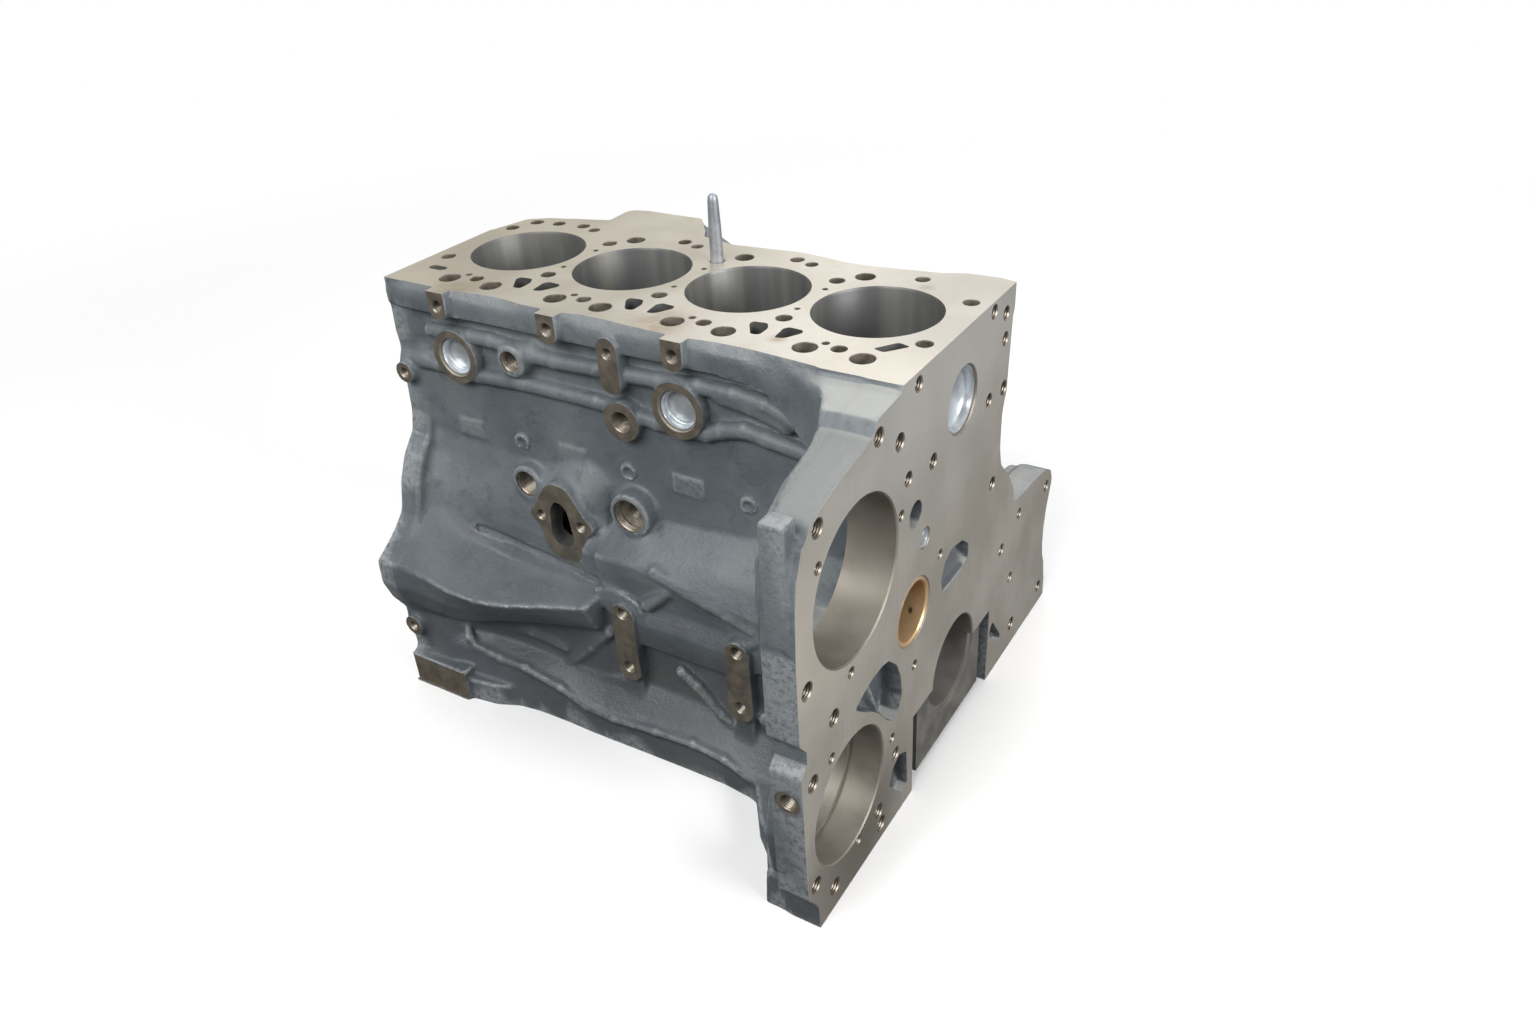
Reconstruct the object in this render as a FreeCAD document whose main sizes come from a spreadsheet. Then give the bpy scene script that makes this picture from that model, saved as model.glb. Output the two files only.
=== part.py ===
import FreeCAD, Part
import Sketcher
import math
import os

# Four-cylinder diesel engine block, bare: the casting with its five main
# bearing caps, cap bolts, camshaft bush, core plugs and one guide stud.
# Frame: origin on the crankshaft axis in the plane of the gear-end face,
# +X out of the gear end, +Z up to the head face, -Y the side with the
# oval pump opening. Millimetres.

doc = FreeCAD.newDocument("EngineBlock")
sheet = doc.addObject("Spreadsheet::Sheet", "Sizes")

SIZES = [
    ("pitch", 120.0),           # bore centre to bore centre
    ("bore_dia", 104.0),
    ("first_bore", 76.0),       # gear-end face to the first bore centre
    ("deck", 323.0),            # crank axis to head face
    ("rail_low", 86.0),         # crank axis down to the sump rail
    ("block_len", 512.0),
    ("bore_len", 206.0),
    ("wall_near", 104.0),
    ("wall_far", 86.0),
    ("case_near", 138.0),       # crankcase half widths
    ("case_far", 136.0),
    ("case_wall", 12.0),
    ("rail_near", 156.0),
    ("rail_far", 152.0),
    ("rail_thick", 28.0),
    ("web", 28.0),              # bearing wall thickness
    ("crank_dia", 88.0),
    ("cap_width", 140.0),
    ("cap_slot", 15.0),
    ("cap_recess", 3.4),
    ("cap_short", 14.0),        # inner caps stop this far above the rail
    ("end_cap_short", 9.0),     # end caps stop this far above the rail
    ("cap_bolt_y", 57.0),
    ("bolt_dia", 14.0),
    ("bolt_gap", 0.6),          # clearance round a bolt in its cap
    ("bolt_grip", 42.0),        # thread length in the block
    ("seat_gap", 0.1),          # clearance all round a pressed piece
    ("cam_near", 88.0),
    ("cam_up", 113.0),
    ("bush_dia", 52.0),
    ("bush_wall", 3.5),
    ("bush_len", 24.0),
    ("cam_tunnel", 54.0),
    ("flange_thick", 28.0),
    ("flange_core", 42.0),
    ("rear_thick", 26.0),
    ("pump_y", 182.7),          # upper gear-pocket bore
    ("pump_z", 203.0),
    ("pump_dia", 127.2),
    ("drive_y", 198.5),         # lower gear-pocket bore
    ("drive_z", 10.3),
    ("drive_dia", 112.0),
    ("drive_lip", 5.0),
    ("jacket_top", 12.0),
    ("jacket_deep", 138.0),
    ("tube_wall", 8.6),
    ("plug_side", 35.0),        # core plug diameters
    ("plug_end", 56.0),
    ("plug_deep", 12.0),
    ("plug_wall", 2.0),
    ("head_bolt", 13.0),
    ("push_dia", 19.0),
    ("stud_dia", 11.0),
    ("stud_up", 60.0),
]
for row, (name, value) in enumerate(SIZES, start=1):
    sheet.set("A%d" % row, name)
    sheet.set("B%d" % row, str(value))
    sheet.setAlias("B%d" % row, name)
doc.recompute()


class Dim:
    """A size with its value and its formula in the sheet's names."""

    def __init__(self, value, text):
        self.value = float(value)
        self.text = text

    def _join(self, other, sign, flip=False):
        if not isinstance(other, Dim):
            other = Dim(other, "(%.6f)" % other)
        a, b = (other, self) if flip else (self, other)
        if sign == "+":
            value = a.value + b.value
        elif sign == "-":
            value = a.value - b.value
        elif sign == "*":
            value = a.value * b.value
        else:
            value = a.value / b.value
        return Dim(value, "(%s %s %s)" % (a.text, sign, b.text))

    def __add__(self, other):
        return self._join(other, "+")

    def __radd__(self, other):
        return self._join(other, "+", True)

    def __sub__(self, other):
        return self._join(other, "-")

    def __rsub__(self, other):
        return self._join(other, "-", True)

    def __mul__(self, other):
        return self._join(other, "*")

    def __rmul__(self, other):
        return self._join(other, "*", True)

    def __truediv__(self, other):
        return self._join(other, "/")

    def __neg__(self):
        return Dim(0.0, "(0)") - self


S = {name: Dim(sheet.get(name), "Sizes." + name) for name, value in SIZES}


def num(v):
    return v.value if isinstance(v, Dim) else float(v)


def new_body(label):
    body = doc.addObject("PartDesign::Body", label)
    body.Label = label
    return body


def plane_of(body, role):
    for feature in body.Origin.OriginFeatures:
        if feature.Role == role:
            return feature
    raise RuntimeError("no plane " + role)


PLANES = {
    "XY_Plane": (FreeCAD.Rotation(), "z", 1.0),
    "XZ_Plane": (FreeCAD.Rotation(FreeCAD.Vector(1, 0, 0), 90), "y", -1.0),
    "YZ_Plane": (FreeCAD.Rotation(FreeCAD.Vector(1, 1, 1), 120), "x", 1.0),
}


def new_sketch(body, role, offset, name):
    """A sketch this far along the plane's normal (+Z, -Y or +X)."""
    if isinstance(body, Casting):
        sketch = doc.addObject("Sketcher::SketchObject", name)
        turn, letter, sign = PLANES[role]
        along = offset * sign
        base = {"x": 0.0, "y": 0.0, "z": 0.0}
        base[letter] = num(along)
        sketch.Placement = FreeCAD.Placement(FreeCAD.Vector(base["x"], base["y"], base["z"]), turn)
        if isinstance(along, Dim):
            sketch.setExpression("Placement.Base." + letter, along.text)
        return sketch
    sketch = body.newObject("Sketcher::SketchObject", name)
    sketch.AttachmentSupport = [(plane_of(body, role), "")]
    sketch.MapMode = "FlatFace"
    sketch.AttachmentOffset = FreeCAD.Placement(FreeCAD.Vector(0, 0, num(offset)), FreeCAD.Rotation())
    if isinstance(offset, Dim):
        sketch.setExpression("AttachmentOffset.Base.z", offset.text)
    return sketch


def tie(sketch, constraints):
    """Adds constraints given as (constraint, size) and binds the sizes."""
    start = sketch.ConstraintCount
    sketch.addConstraint([c for c, v in constraints])
    for i, (c, v) in enumerate(constraints):
        if isinstance(v, Dim):
            sketch.setExpression("Constraints[%d]" % (start + i), v.text)


def add_polygon(sketch, points):
    first = sketch.GeometryCount
    n = len(points)
    vecs = [FreeCAD.Vector(num(a), num(b), 0) for a, b in points]
    lines = [Part.LineSegment(vecs[i], vecs[(i + 1) % n]) for i in range(n)]
    sketch.addGeometry(lines, False)
    joins = [(Sketcher.Constraint("Coincident", first + i, 2, first + (i + 1) % n, 1), None) for i in range(n)]
    sizes = []
    for i, (a, b) in enumerate(points):
        sizes.append((Sketcher.Constraint("DistanceX", -1, 1, first + i, 1, num(a)), a))
        sizes.append((Sketcher.Constraint("DistanceY", -1, 1, first + i, 1, num(b)), b))
    tie(sketch, joins)
    tie(sketch, sizes)


def add_circles(sketch, circles):
    """Circles as (a, b, radius), each bound by centre and radius."""
    for a, b, r in circles:
        g = sketch.GeometryCount
        centre = FreeCAD.Vector(num(a), num(b), 0)
        sketch.addGeometry(Part.Circle(centre, FreeCAD.Vector(0, 0, 1), num(r)), False)
        tie(sketch, [
            (Sketcher.Constraint("DistanceX", -1, 1, g, 3, num(a)), a),
            (Sketcher.Constraint("DistanceY", -1, 1, g, 3, num(b)), b),
            (Sketcher.Constraint("Radius", g, num(r)), r),
        ])


def fillet_path(points, radius):
    """A closed outline of lines and arcs round the given corners."""
    pts = [FreeCAD.Vector(num(a), num(b), 0) for a, b in points]
    n = len(pts)
    geo = []
    ends = []
    for i in range(n):
        before, here, after = pts[i - 1], pts[i], pts[(i + 1) % n]
        u = (before - here)
        w = (after - here)
        room = 0.45 * min(u.Length, w.Length)
        u.normalize()
        w.normalize()
        half = math.acos(max(-1.0, min(1.0, u.dot(w)))) / 2.0
        back = min(room, radius / max(math.tan(half), 1e-6))
        r = back * math.tan(half)
        if math.pi / 2 - half < 0.02 or r < 0.05:
            ends.append((here, here, None))
            continue
        p1 = here + u * back
        p2 = here + w * back
        mid_dir = (u + w)
        mid_dir.normalize()
        centre = here + mid_dir * (r / math.sin(half))
        mid = centre - mid_dir * r
        ends.append((p1, p2, mid))
    for i in range(n):
        p1, p2, mid = ends[i]
        if mid is not None:
            geo.append(Part.Arc(p1, mid, p2))
        q1 = ends[(i + 1) % n][0]
        if (q1 - p2).Length > 1e-4:
            geo.append(Part.LineSegment(p2, q1))
    return geo


def add_rounded(sketch, points, radius):
    """Rounded outline; its corners follow the sheet through the code."""
    sketch.addGeometry(fillet_path(points, radius), False)


def slot_points(a, b, half_width, half_length):
    """Corners of an upright oblong centred at a, b."""
    return [(a - half_width, b - half_length), (a + half_width, b - half_length),
            (a + half_width, b + half_length), (a - half_width, b + half_length)]


class Casting:
    """The casting's stock and cutters, joined stage by stage."""

    def __init__(self):
        self.stages = []

    def stage(self, kind):
        self.stages.append((kind, []))

    def keep(self, solid):
        self.stages[-1][1].append(solid)


def extruded(sketch, length, backward):
    solid = doc.addObject("Part::Extrusion", sketch.Name + "_solid")
    solid.Base = sketch
    solid.DirMode = "Normal"
    solid.Solid = True
    solid.Reversed = backward
    solid.LengthFwd = num(length)
    if isinstance(length, Dim):
        solid.setExpression("LengthFwd", length.text)
    return solid


def pad(body, sketch, length, reverse=False):
    if isinstance(body, Casting):
        body.keep(extruded(sketch, length, reverse))
        return
    feature = body.newObject("PartDesign::Pad", sketch.Name + "_pad")
    feature.Profile = sketch
    feature.Length = num(length)
    if isinstance(length, Dim):
        feature.setExpression("Length", length.text)
    feature.Reversed = reverse


def pocket(body, sketch, length=None, reverse=False):
    if isinstance(body, Casting):
        body.keep(extruded(sketch, S["block_len"] * 2 if length is None else length, not reverse))
        return
    feature = body.newObject("PartDesign::Pocket", sketch.Name + "_cut")
    feature.Profile = sketch
    if length is None:
        feature.Type = "ThroughAll"
    else:
        feature.Length = num(length)
        if isinstance(length, Dim):
            feature.setExpression("Length", length.text)
    feature.Reversed = reverse


XY, XZ, YZ = "XY_Plane", "XZ_Plane", "YZ_Plane"
deck, rail = S["deck"], S["rail_low"]
length = S["block_len"]
wall_pos = [S["first_bore"] - S["pitch"] / 2 + S["pitch"] * k for k in range(5)]
bore_pos = [S["first_bore"] + S["pitch"] * k for k in range(4)]
WALLS = [-w for w in wall_pos]      # bearing wall centres along X
BORES = [-b for b in bore_pos]      # bore centres along X

block = Casting()
block.stage("add")

# Upper walls round the cylinders
near_face = -S["wall_near"]
sk = new_sketch(block, XY, -rail, "upper_body")
add_polygon(sk, [(-length, near_face), (-1.0, near_face), (-1.0, S["wall_far"]), (-length, S["wall_far"])])
pad(block, sk, deck + rail)

# Crankcase, wider than the cylinders above it
case_n, case_f = -S["case_near"], S["case_far"]
sk = new_sketch(block, YZ, -1.0, "crankcase")
add_polygon(sk, [
    (near_face, deck * 0.545), (near_face - 12, deck * 0.47), (case_n + 4, deck * 0.36),
    (case_n, deck * 0.2), (case_n, -rail), (case_f, -rail), (case_f, deck * 0.35),
    (S["wall_far"] + 24, deck * 0.43), (S["wall_far"], deck * 0.5),
])
pad(block, sk, length - 1.0, reverse=True)

# Head-face band with its wavy near edge and three notch pads
sk = new_sketch(block, XY, deck - 28, "head_band")
near_wave = [(-1.0, 111.0), (-45.0, 111.0), (-100.0, 108.0), (-128.0, 105.5), (-160.0, 105.5)]
near_wave += [(-172.0, 108.5), (-182.0, 109.0), (-184.0, 118.0), (-202.0, 118.0), (-204.0, 109.0)]
near_wave += [(-240.0, 109.0), (-265.0, 105.5), (-290.0, 105.5), (-306.0, 109.0), (-309.0, 118.5)]
near_wave += [(-327.0, 118.5), (-330.0, 109.0), (-352.0, 109.0), (-372.0, 105.5), (-400.0, 105.5)]
near_wave += [(-420.0, 109.0), (-430.0, 109.5), (-432.0, 118.5), (-450.0, 118.5), (-452.0, 109.5)]
near_wave += [(-500.0, 109.0), (-508.0, 103.0)]
far_edge = [(-511.0, 30.0), (-500.0, 70.0), (-480.0, 83.0), (-455.0, 91.0), (-436.0, 96.0)]
far_edge += [(-419.0, 101.0), (-420.0, 130.0), (-415.0, 137.0), (-400.0, 140.0), (-336.0, 140.0)]
far_edge += [(-312.0, 110.0), (-304.0, 96.0), (-266.0, 87.5), (-240.0, 90.0), (-200.0, 94.0)]
far_edge += [(-172.0, 91.0), (-152.0, 87.0), (-128.0, 87.0), (-100.0, 91.0), (-64.0, 96.0)]
far_edge += [(-44.0, 104.0), (-16.0, 105.0), (-1.0, 100.0)]
stretch = length / 512.0
grow_n = S["wall_near"] / 104.0
grow_f = S["wall_far"] / 86.0
band = [(x * stretch, -y * grow_n) for x, y in near_wave]
band += [(x * stretch, y * grow_f) for x, y in far_edge]
add_rounded(sk, band, 5.0)
pad(block, sk, 28.0)

# Bracket on the far side under the widened head face
sk = new_sketch(block, XY, deck - 70, "far_bracket")
add_rounded(sk, [(-416.0 * stretch, S["wall_far"] - 4), (-416.0 * stretch, S["wall_far"] + 48),
                 (-342.0 * stretch, S["wall_far"] + 48), (-318.0 * stretch, S["wall_far"] - 4)], 6.0)
pad(block, sk, 50.0)

sk = new_sketch(block, XZ, -(S["wall_far"] + 46), "far_bracket_side")
add_polygon(sk, [(-350.0 * stretch, deck - 5), (-324.0 * stretch, deck - 5), (-296.0 * stretch, deck - 18),
                 (-288.0 * stretch, deck - 40), (-300.0 * stretch, deck - 68), (-350.0 * stretch, deck - 68)])
pad(block, sk, 50.0)

# Gear-end flange, full thickness at its edge
FLANGE = [(-111, 323), (-112, 318), (-120, 316.5), (-151.5, 314), (-160.5, 304.5), (-208.7, 295.6), (-230.7, 290)]
FLANGE += [(-246, 283), (-258, 273), (-265.8, 253.5), (-269, 231.6), (-271, 190), (-271, 120), (-262, 108)]
FLANGE += [(-262, 96), (-271, 88), (-270, 46), (-268.5, -38), (-253, -64), (-249.5, -86)]
FLANGE += [(250, -86), (248, -61), (243, -41), (236, -27), (232.4, -11), (232.4, 12), (235.5, 30), (240, 43)]
FLANGE += [(245, 57), (245, 64), (239, 75), (224, 83), (211, 85), (184, 89), (158, 90.5), (137, 94), (121.5, 102)]
FLANGE += [(108, 113.6), (98, 126.5), (94, 137), (88, 148.4), (84.5, 157), (84, 166), (84.5, 189), (85.5, 209)]
FLANGE += [(94, 228), (95, 247), (98, 290), (99, 323)]
rise = deck / 323.0
drop = rail / 86.0


def gear_point(y, z):
    return (float(y), z * rise if z >= 0 else z * drop)


sk = new_sketch(block, YZ, 0.0, "gear_flange")
add_rounded(sk, [gear_point(y, z) for y, z in FLANGE], 7.0)
pad(block, sk, S["flange_thick"], reverse=True)

# Thicker far foot of the flange
FAR_FOOT = [(112, -80), (243, -80), (229, -20), (229, 15), (237, 50), (236, 68), (222, 79), (184, 85), (140, 90)]
FAR_FOOT += [(122, 98), (112, 106)]
sk = new_sketch(block, YZ, 0.0, "flange_far_foot")
add_rounded(sk, [gear_point(y, z) for y, z in FAR_FOOT], 6.0)
pad(block, sk, S["flange_thick"] + 11, reverse=True)

# Shelf under the head face at the gear end
sk = new_sketch(block, XY, deck - 83, "head_shelf")
add_polygon(sk, [(-1.0, -60.0), (-1.0, -152.0), (-25.0, -152.0), (-31.0, -150.0), (-44.0, -138.0), (-60.0, -123.0),
                 (-76.0, -112.0), (-90.0, -106.0), (-90.0, -60.0)])
pad(block, sk, 74.5)

# Thicker middle of the flange behind the two large bores
CORE = [(-100, 318), (-162, 305), (-210, 290), (-236, 276), (-250, 255), (-255, 203), (-250, 150)]
CORE += [(-236, 125), (-200, 118), (-190, 90), (-205, 76), (-245, 62), (-262, 10), (-255, -40)]
CORE += [(-225, -70), (-160, -74), (-110, -74)]
sk = new_sketch(block, YZ, 0.0, "flange_core")
add_rounded(sk, [gear_point(y, z) for y, z in CORE], 10.0)
pad(block, sk, S["flange_core"], reverse=True)

# Cast shoulder on the flange's upper corner
sk = new_sketch(block, YZ, -4.0, "flange_shoulder")
add_rounded(sk, [gear_point(y, z) for y, z in [(-240, 270), (-240, 287), (-256, 283), (-272, 268), (-272, 240)]], 4.0)
pad(block, sk, S["flange_thick"] - 2, reverse=True)

# Rear flange, flaring out over the crankcase
REAR = [(-106, 322), (-104, 240), (-108, 190), (-117, 173), (-132, 154), (-143, 131), (-150, 102)]
REAR += [(-167, 77), (-190, 67), (-191, 43), (-184, 22), (-173, 3), (-173, -20), (-170, -44)]
REAR += [(-178, -60), (-179, -86), (172, -86), (176, -50), (186, 10), (180, 60), (160, 96)]
REAR += [(136, 130), (110, 170), (94, 200), (88, 240), (86, 322)]
sk = new_sketch(block, YZ, -length, "rear_flange")
add_rounded(sk, [gear_point(y, z) for y, z in REAR], 6.0)
pad(block, sk, S["rear_thick"])

# Sump rail all round, flaring into both flanges
sk = new_sketch(block, XY, -rail, "sump_rail")
near_rail = [(-1.0, 249.0), (-28.0, 248.0), (-53.0, 243.0), (-74.0, 210.0), (-90.0, 196.0), (-114.0, 163.0)]
near_rail += [(-124.0, 158.0), (-157.0, 155.0), (-250.0, 156.0), (-309.0, 158.0), (-326.0, 155.0)]
near_rail += [(-385.0, 157.0), (-396.0, 166.0), (-411.0, 172.5), (-452.0, 178.5), (-511.0, 179.0)]
far_rail = [(-511.0, 172.0), (-450.0, 170.0), (-420.0, 158.0), (-400.0, 152.0), (-120.0, 152.0)]
far_rail += [(-90.0, 190.0), (-56.0, 240.0), (-28.0, 249.0), (-1.0, 249.0)]
wide_n = S["rail_near"] / 156.0
wide_f = S["rail_far"] / 152.0
ring = [(x * stretch, -y * (wide_n if y < 200 else 1.0)) for x, y in near_rail]
ring += [(x * stretch, y * (wide_f if y < 200 else 1.0)) for x, y in far_rail]
add_rounded(sk, ring, 6.0)
pad(block, sk, S["rail_thick"])

# Taller step of the rail toward the rear on the near side
sk = new_sketch(block, XZ, S["case_near"] - 6, "rail_step")
add_rounded(sk, [(-511 * stretch, -rail + 4), (-511 * stretch, -20 * drop), (-463 * stretch, -30 * drop),
                 (-395 * stretch, -46 * drop), (-300 * stretch, -57 * drop), (-160 * stretch, -58 * drop),
                 (-160 * stretch, -rail + 4)], 5.0)
pad(block, sk, S["rail_near"] - S["case_near"] + 4)

# Wide ledge along the near side of the crankcase
ledge = [(-511.0, 190.0), (-455.0, 187.0), (-415.0, 190.0), (-380.0, 188.0), (-345.0, 176.0), (-300.0, 152.0)]
inner = case_n + 14
edge = [(x * stretch, -y) for x, y in ledge]
sk = new_sketch(block, XY, 40 * rise, "ledge")
add_rounded(sk, edge + [(-272 * stretch, case_n - 1), (-272 * stretch, inner), (-511 * stretch, inner)], 8.0)
pad(block, sk, 26 * rise)
low = new_sketch(block, XY, 64 * rise, "ledge_low")
add_polygon(low, edge + [(-272 * stretch, case_n - 1), (-272 * stretch, inner), (-511 * stretch, inner)])
high = new_sketch(block, XY, 112 * rise, "ledge_high")
flat = [(x * stretch, case_n + 2) for x, y in ledge]
add_polygon(high, flat + [(-272 * stretch, case_n + 3), (-272 * stretch, inner), (-511 * stretch, inner)])
slope = doc.addObject("Part::Loft", "ledge_slope")
slope.Sections = [low, high]
slope.Solid = True
slope.Ruled = True
block.keep(slope)

# Water and oil gallery ribs along the near side
for name, z, half, out, x0, x1 in (("rib_upper", 279.0, 6.0, 5.5, -500.0, -96.0),
                                   ("rib_lower", 245.0, 6.0, 6.5, -504.0, -40.0)):
    sk = new_sketch(block, XZ, S["wall_near"] - 4, name)
    add_rounded(sk, [(x0 * stretch, (z - half) * rise), (x1 * stretch, (z - half) * rise),
                     (x1 * stretch, (z + half) * rise), (x0 * stretch, (z + half) * rise)], 4.0)
    pad(block, sk, out + 4)

# Round bosses on the near side: x, z, radius, height over the wall
BOSSES = [
    ("plug_boss_1", -197.0, 260.0, 25.0, 9.0),
    ("plug_boss_2", -437.0, 261.0, 25.0, 9.0),
    ("port_boss_1", -370.0, 269.5, 16.0, 8.0),
    ("port_boss_2", -256.0, 237.0, 18.0, 9.0),
    ("port_boss_3", -372.5, 150.0, 16.5, 13.0),
    ("port_boss_4", -254.5, 149.5, 20.0, 16.0),
]
for name, x, z, r, out in BOSSES:
    sk = new_sketch(block, XZ, S["wall_near"] - 6, name)
    add_circles(sk, [(x * stretch, z * rise, r)])
    pad(block, sk, out + 6)

# Oblong pad, its two bolt lugs at the rear edge and shallow core marks
sk = new_sketch(block, XZ, S["wall_near"] - 6, "oblong_pad")
add_rounded(sk, slot_points(-259 * stretch, (deck - 36), 10.5, 24.0), 10.0)
pad(block, sk, 6 + 12.0)
sk = new_sketch(block, XZ, S["wall_near"] - 6, "rear_lug_high")
add_circles(sk, [(-502 * stretch, 234 * rise, 9.5)])
pad(block, sk, 6 + 14.0)
sk = new_sketch(block, XZ, S["case_near"] - 6, "rear_lug_low")
add_circles(sk, [(-500 * stretch, -14.0 * drop, 9.5)])
pad(block, sk, 6 + 42.0)
sk = new_sketch(block, XZ, S["wall_near"] - 3, "core_marks")
for x in (-440.0, -320.0, -198.0):
    add_rounded(sk, slot_points(x * stretch, 191 * rise, 16.0, 8.0), 2.0)
add_circles(sk, [(x * stretch, 190 * rise, 7.0) for x in (-379.0, -259.0, -138.0)])
pad(block, sk, 3 + 1.6)

# Neck and two-bolt face of the lift pump opening
sk = new_sketch(block, XZ, S["wall_near"] - 6, "pump_neck")
add_rounded(sk, [(-352 * stretch, 90 * rise), (-300 * stretch, 90 * rise), (-292 * stretch, 140 * rise),
                 (-306 * stretch, 172 * rise), (-338 * stretch, 172 * rise), (-356 * stretch, 140 * rise)], 12.0)
pad(block, sk, 6 + 16.0)
sk = new_sketch(block, XZ, S["wall_near"] - 6, "pump_face")
mid_x = -325.5 * stretch
add_rounded(sk, [(mid_x - 33, 132 * rise), (mid_x - 26, 124 * rise), (mid_x - 14, 92 * rise), (mid_x + 14, 92 * rise),
                 (mid_x + 26, 124 * rise), (mid_x + 33, 132 * rise), (mid_x + 26, 142 * rise),
                 (mid_x + 10, 166 * rise), (mid_x - 10, 166 * rise), (mid_x - 26, 142 * rise)], 7.0)
pad(block, sk, 6 + 26.0)

# Upright two-bolt pads in line with the second and third bearing walls
PADS = [WALLS[2], WALLS[1]]
sk = new_sketch(block, XZ, S["case_near"] - 4, "bracket_pads")
for x in PADS:
    add_rounded(sk, slot_points(x, 30.5 * rise, 12.5, 44.0), 11.0)
pad(block, sk, 4 + 7.0)

# Low pad at the rear corner, machined flat
sk = new_sketch(block, XZ, S["rail_near"] - 2, "corner_pad")
add_polygon(sk, [(-length + 1, -rail + 0.5), (-458 * stretch, -rail + 0.5), (-458 * stretch, -47 * drop), (-length + 1, -45 * drop)])
pad(block, sk, 2 + 25.0)

# Diagonal stiffening ribs on the lower wall
RIBS = [
    ((-490, 34), (-420, -28)), ((-395, 34), (-330, 10)), ((-330, -56), (-262, -6)),
    ((-380, -44), (-300, 30)), ((-240, 52), (-140, -2)), ((-240, -6), (-150, -50)),
    ((-120, 40), (-40, 70)), ((-120, -40), (-36, -10)), ((-248, 70), (-200, 92)),
    ((-236, 20), (-150, 58)), ((-480, -10), (-360, 26)),
]
for i, ((x1, z1), (x2, z2)) in enumerate(RIBS):
    run = math.hypot(x2 - x1, z2 - z1)
    nx = -(z2 - z1) / run * 5.0
    nz = (x2 - x1) / run * 5.0
    sk = new_sketch(block, XZ, S["case_near"] - 4, "side_rib_%d" % (i + 1))
    add_polygon(sk, [((x1 + nx) * stretch, (z1 + nz)), ((x1 - nx) * stretch, (z1 - nz)),
                     ((x2 - nx) * stretch, (z2 - nz)), ((x2 + nx) * stretch, (z2 + nz))])
    pad(block, sk, 4 + 5.0)

# Gussets tying the near flange back to the crankcase
for i, z in enumerate((20.0, 112.0, 262.0)):
    sk = new_sketch(block, XY, z * rise, "flange_gusset_%d" % (i + 1))
    add_polygon(sk, [(-20.0, near_face + 10), (-20.0, -235.0), (-40.0, -235.0), (-52.0, -190.0), (-92.0, near_face - 2), (-92.0, near_face + 10)])
    pad(block, sk, 9.0)

# Plain ribs and bosses on the far side
for k, x in enumerate(WALLS[1:4]):
    sk = new_sketch(block, XY, 40.0, "far_rib_%d" % (k + 1))
    add_polygon(sk, [(x - 6, S["wall_far"] - 2), (x + 6, S["wall_far"] - 2), (x + 6, S["wall_far"] + 24), (x - 6, S["wall_far"] + 24)])
    pad(block, sk, (deck - 70) * 0.62)
sk = new_sketch(block, XZ, -S["wall_far"] + 4, "far_plug_bosses")
add_circles(sk, [(x, 250 * rise, 25.0) for x in (BORES[0], BORES[1], BORES[2])])
pad(block, sk, 4 + 8.0, reverse=True)
sk = new_sketch(block, XZ, -S["wall_far"] + 4, "far_gallery")
add_rounded(sk, [(-505 * stretch, 186 * rise), (-30 * stretch, 186 * rise), (-30 * stretch, 212 * rise), (-505 * stretch, 212 * rise)], 6.0)
pad(block, sk, 4 + 12.0, reverse=True)

# Crank chambers between the bearing walls, open downward
block.stage("cut")
sk = new_sketch(block, XY, -rail, "crank_chambers")
half_web = S["web"] / 2
in_n = case_n + S["case_wall"]
in_f = case_f - S["case_wall"]
for k in range(4):
    x1 = WALLS[k] - half_web
    x0 = WALLS[k + 1] + half_web
    add_polygon(sk, [(x0, in_n), (x1, in_n), (x1, in_f), (x0, in_f)])
pocket(block, sk, rail + 108 * rise, reverse=True)

# Room for the caps and the gaps beside them
slot_half = S["cap_width"] / 2 + S["cap_slot"]
sk = new_sketch(block, YZ, 0.0, "cap_room")
add_polygon(sk, [(-slot_half, -rail - 1), (slot_half, -rail - 1), (slot_half, 0.0), (-slot_half, 0.0)])
pocket(block, sk)

# Water jacket with its cylinder tubes and bolt columns
jacket_z = deck - S["jacket_top"]
sk = new_sketch(block, XY, jacket_z, "water_jacket")
add_polygon(sk, [(-length + 9, -71.0), (-11.0, -71.0), (-11.0, S["wall_far"] - 7), (-length + 54, S["wall_far"] - 7),
                 (-length + 30, S["wall_far"] - 22), (-length + 14, S["wall_far"] - 62), (-length + 9, -2.0)])
pocket(block, sk, S["jacket_deep"])
block.stage("add")
tube_r = S["bore_dia"] / 2 + S["tube_wall"]
floor_z = jacket_z - S["jacket_deep"] - 1
for name, picks in (("tubes_odd", (0, 2)), ("tubes_even", (1, 3))):
    sk = new_sketch(block, XY, floor_z, name)
    add_circles(sk, [(BORES[k], 0.0, tube_r) for k in picks])
    pad(block, sk, S["jacket_deep"] + 2)

# Fastener positions over the head face, from the bearing walls outward
near_bolts = [(x, -43.0) for x in WALLS]
mid_bolts = [(x, 45.0) for x in WALLS]
row_bolts = [(b + 4.0, 76.0) for b in BORES]
sk = new_sketch(block, XY, floor_z, "bolt_columns")
column = S["head_bolt"] / 2 + 5
add_circles(sk, [(x, y * 1.0, column) for x, y in near_bolts[1:4] + mid_bolts[1:4] + row_bolts])
pad(block, sk, S["jacket_deep"] + 2)
sk = new_sketch(block, XY, floor_z, "end_columns")
add_circles(sk, [(WALLS[0], -43.0, column), (WALLS[4], -43.0, column), (WALLS[0], 45.0, column), (WALLS[4], 45.0, column)])
pad(block, sk, S["jacket_deep"] + 2)

# Cylinder bores
block.stage("cut")
sk = new_sketch(block, XY, deck, "bores")
add_circles(sk, [(x, 0.0, S["bore_dia"] / 2) for x in BORES])
pocket(block, sk, deck - 100 * rise)

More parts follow.
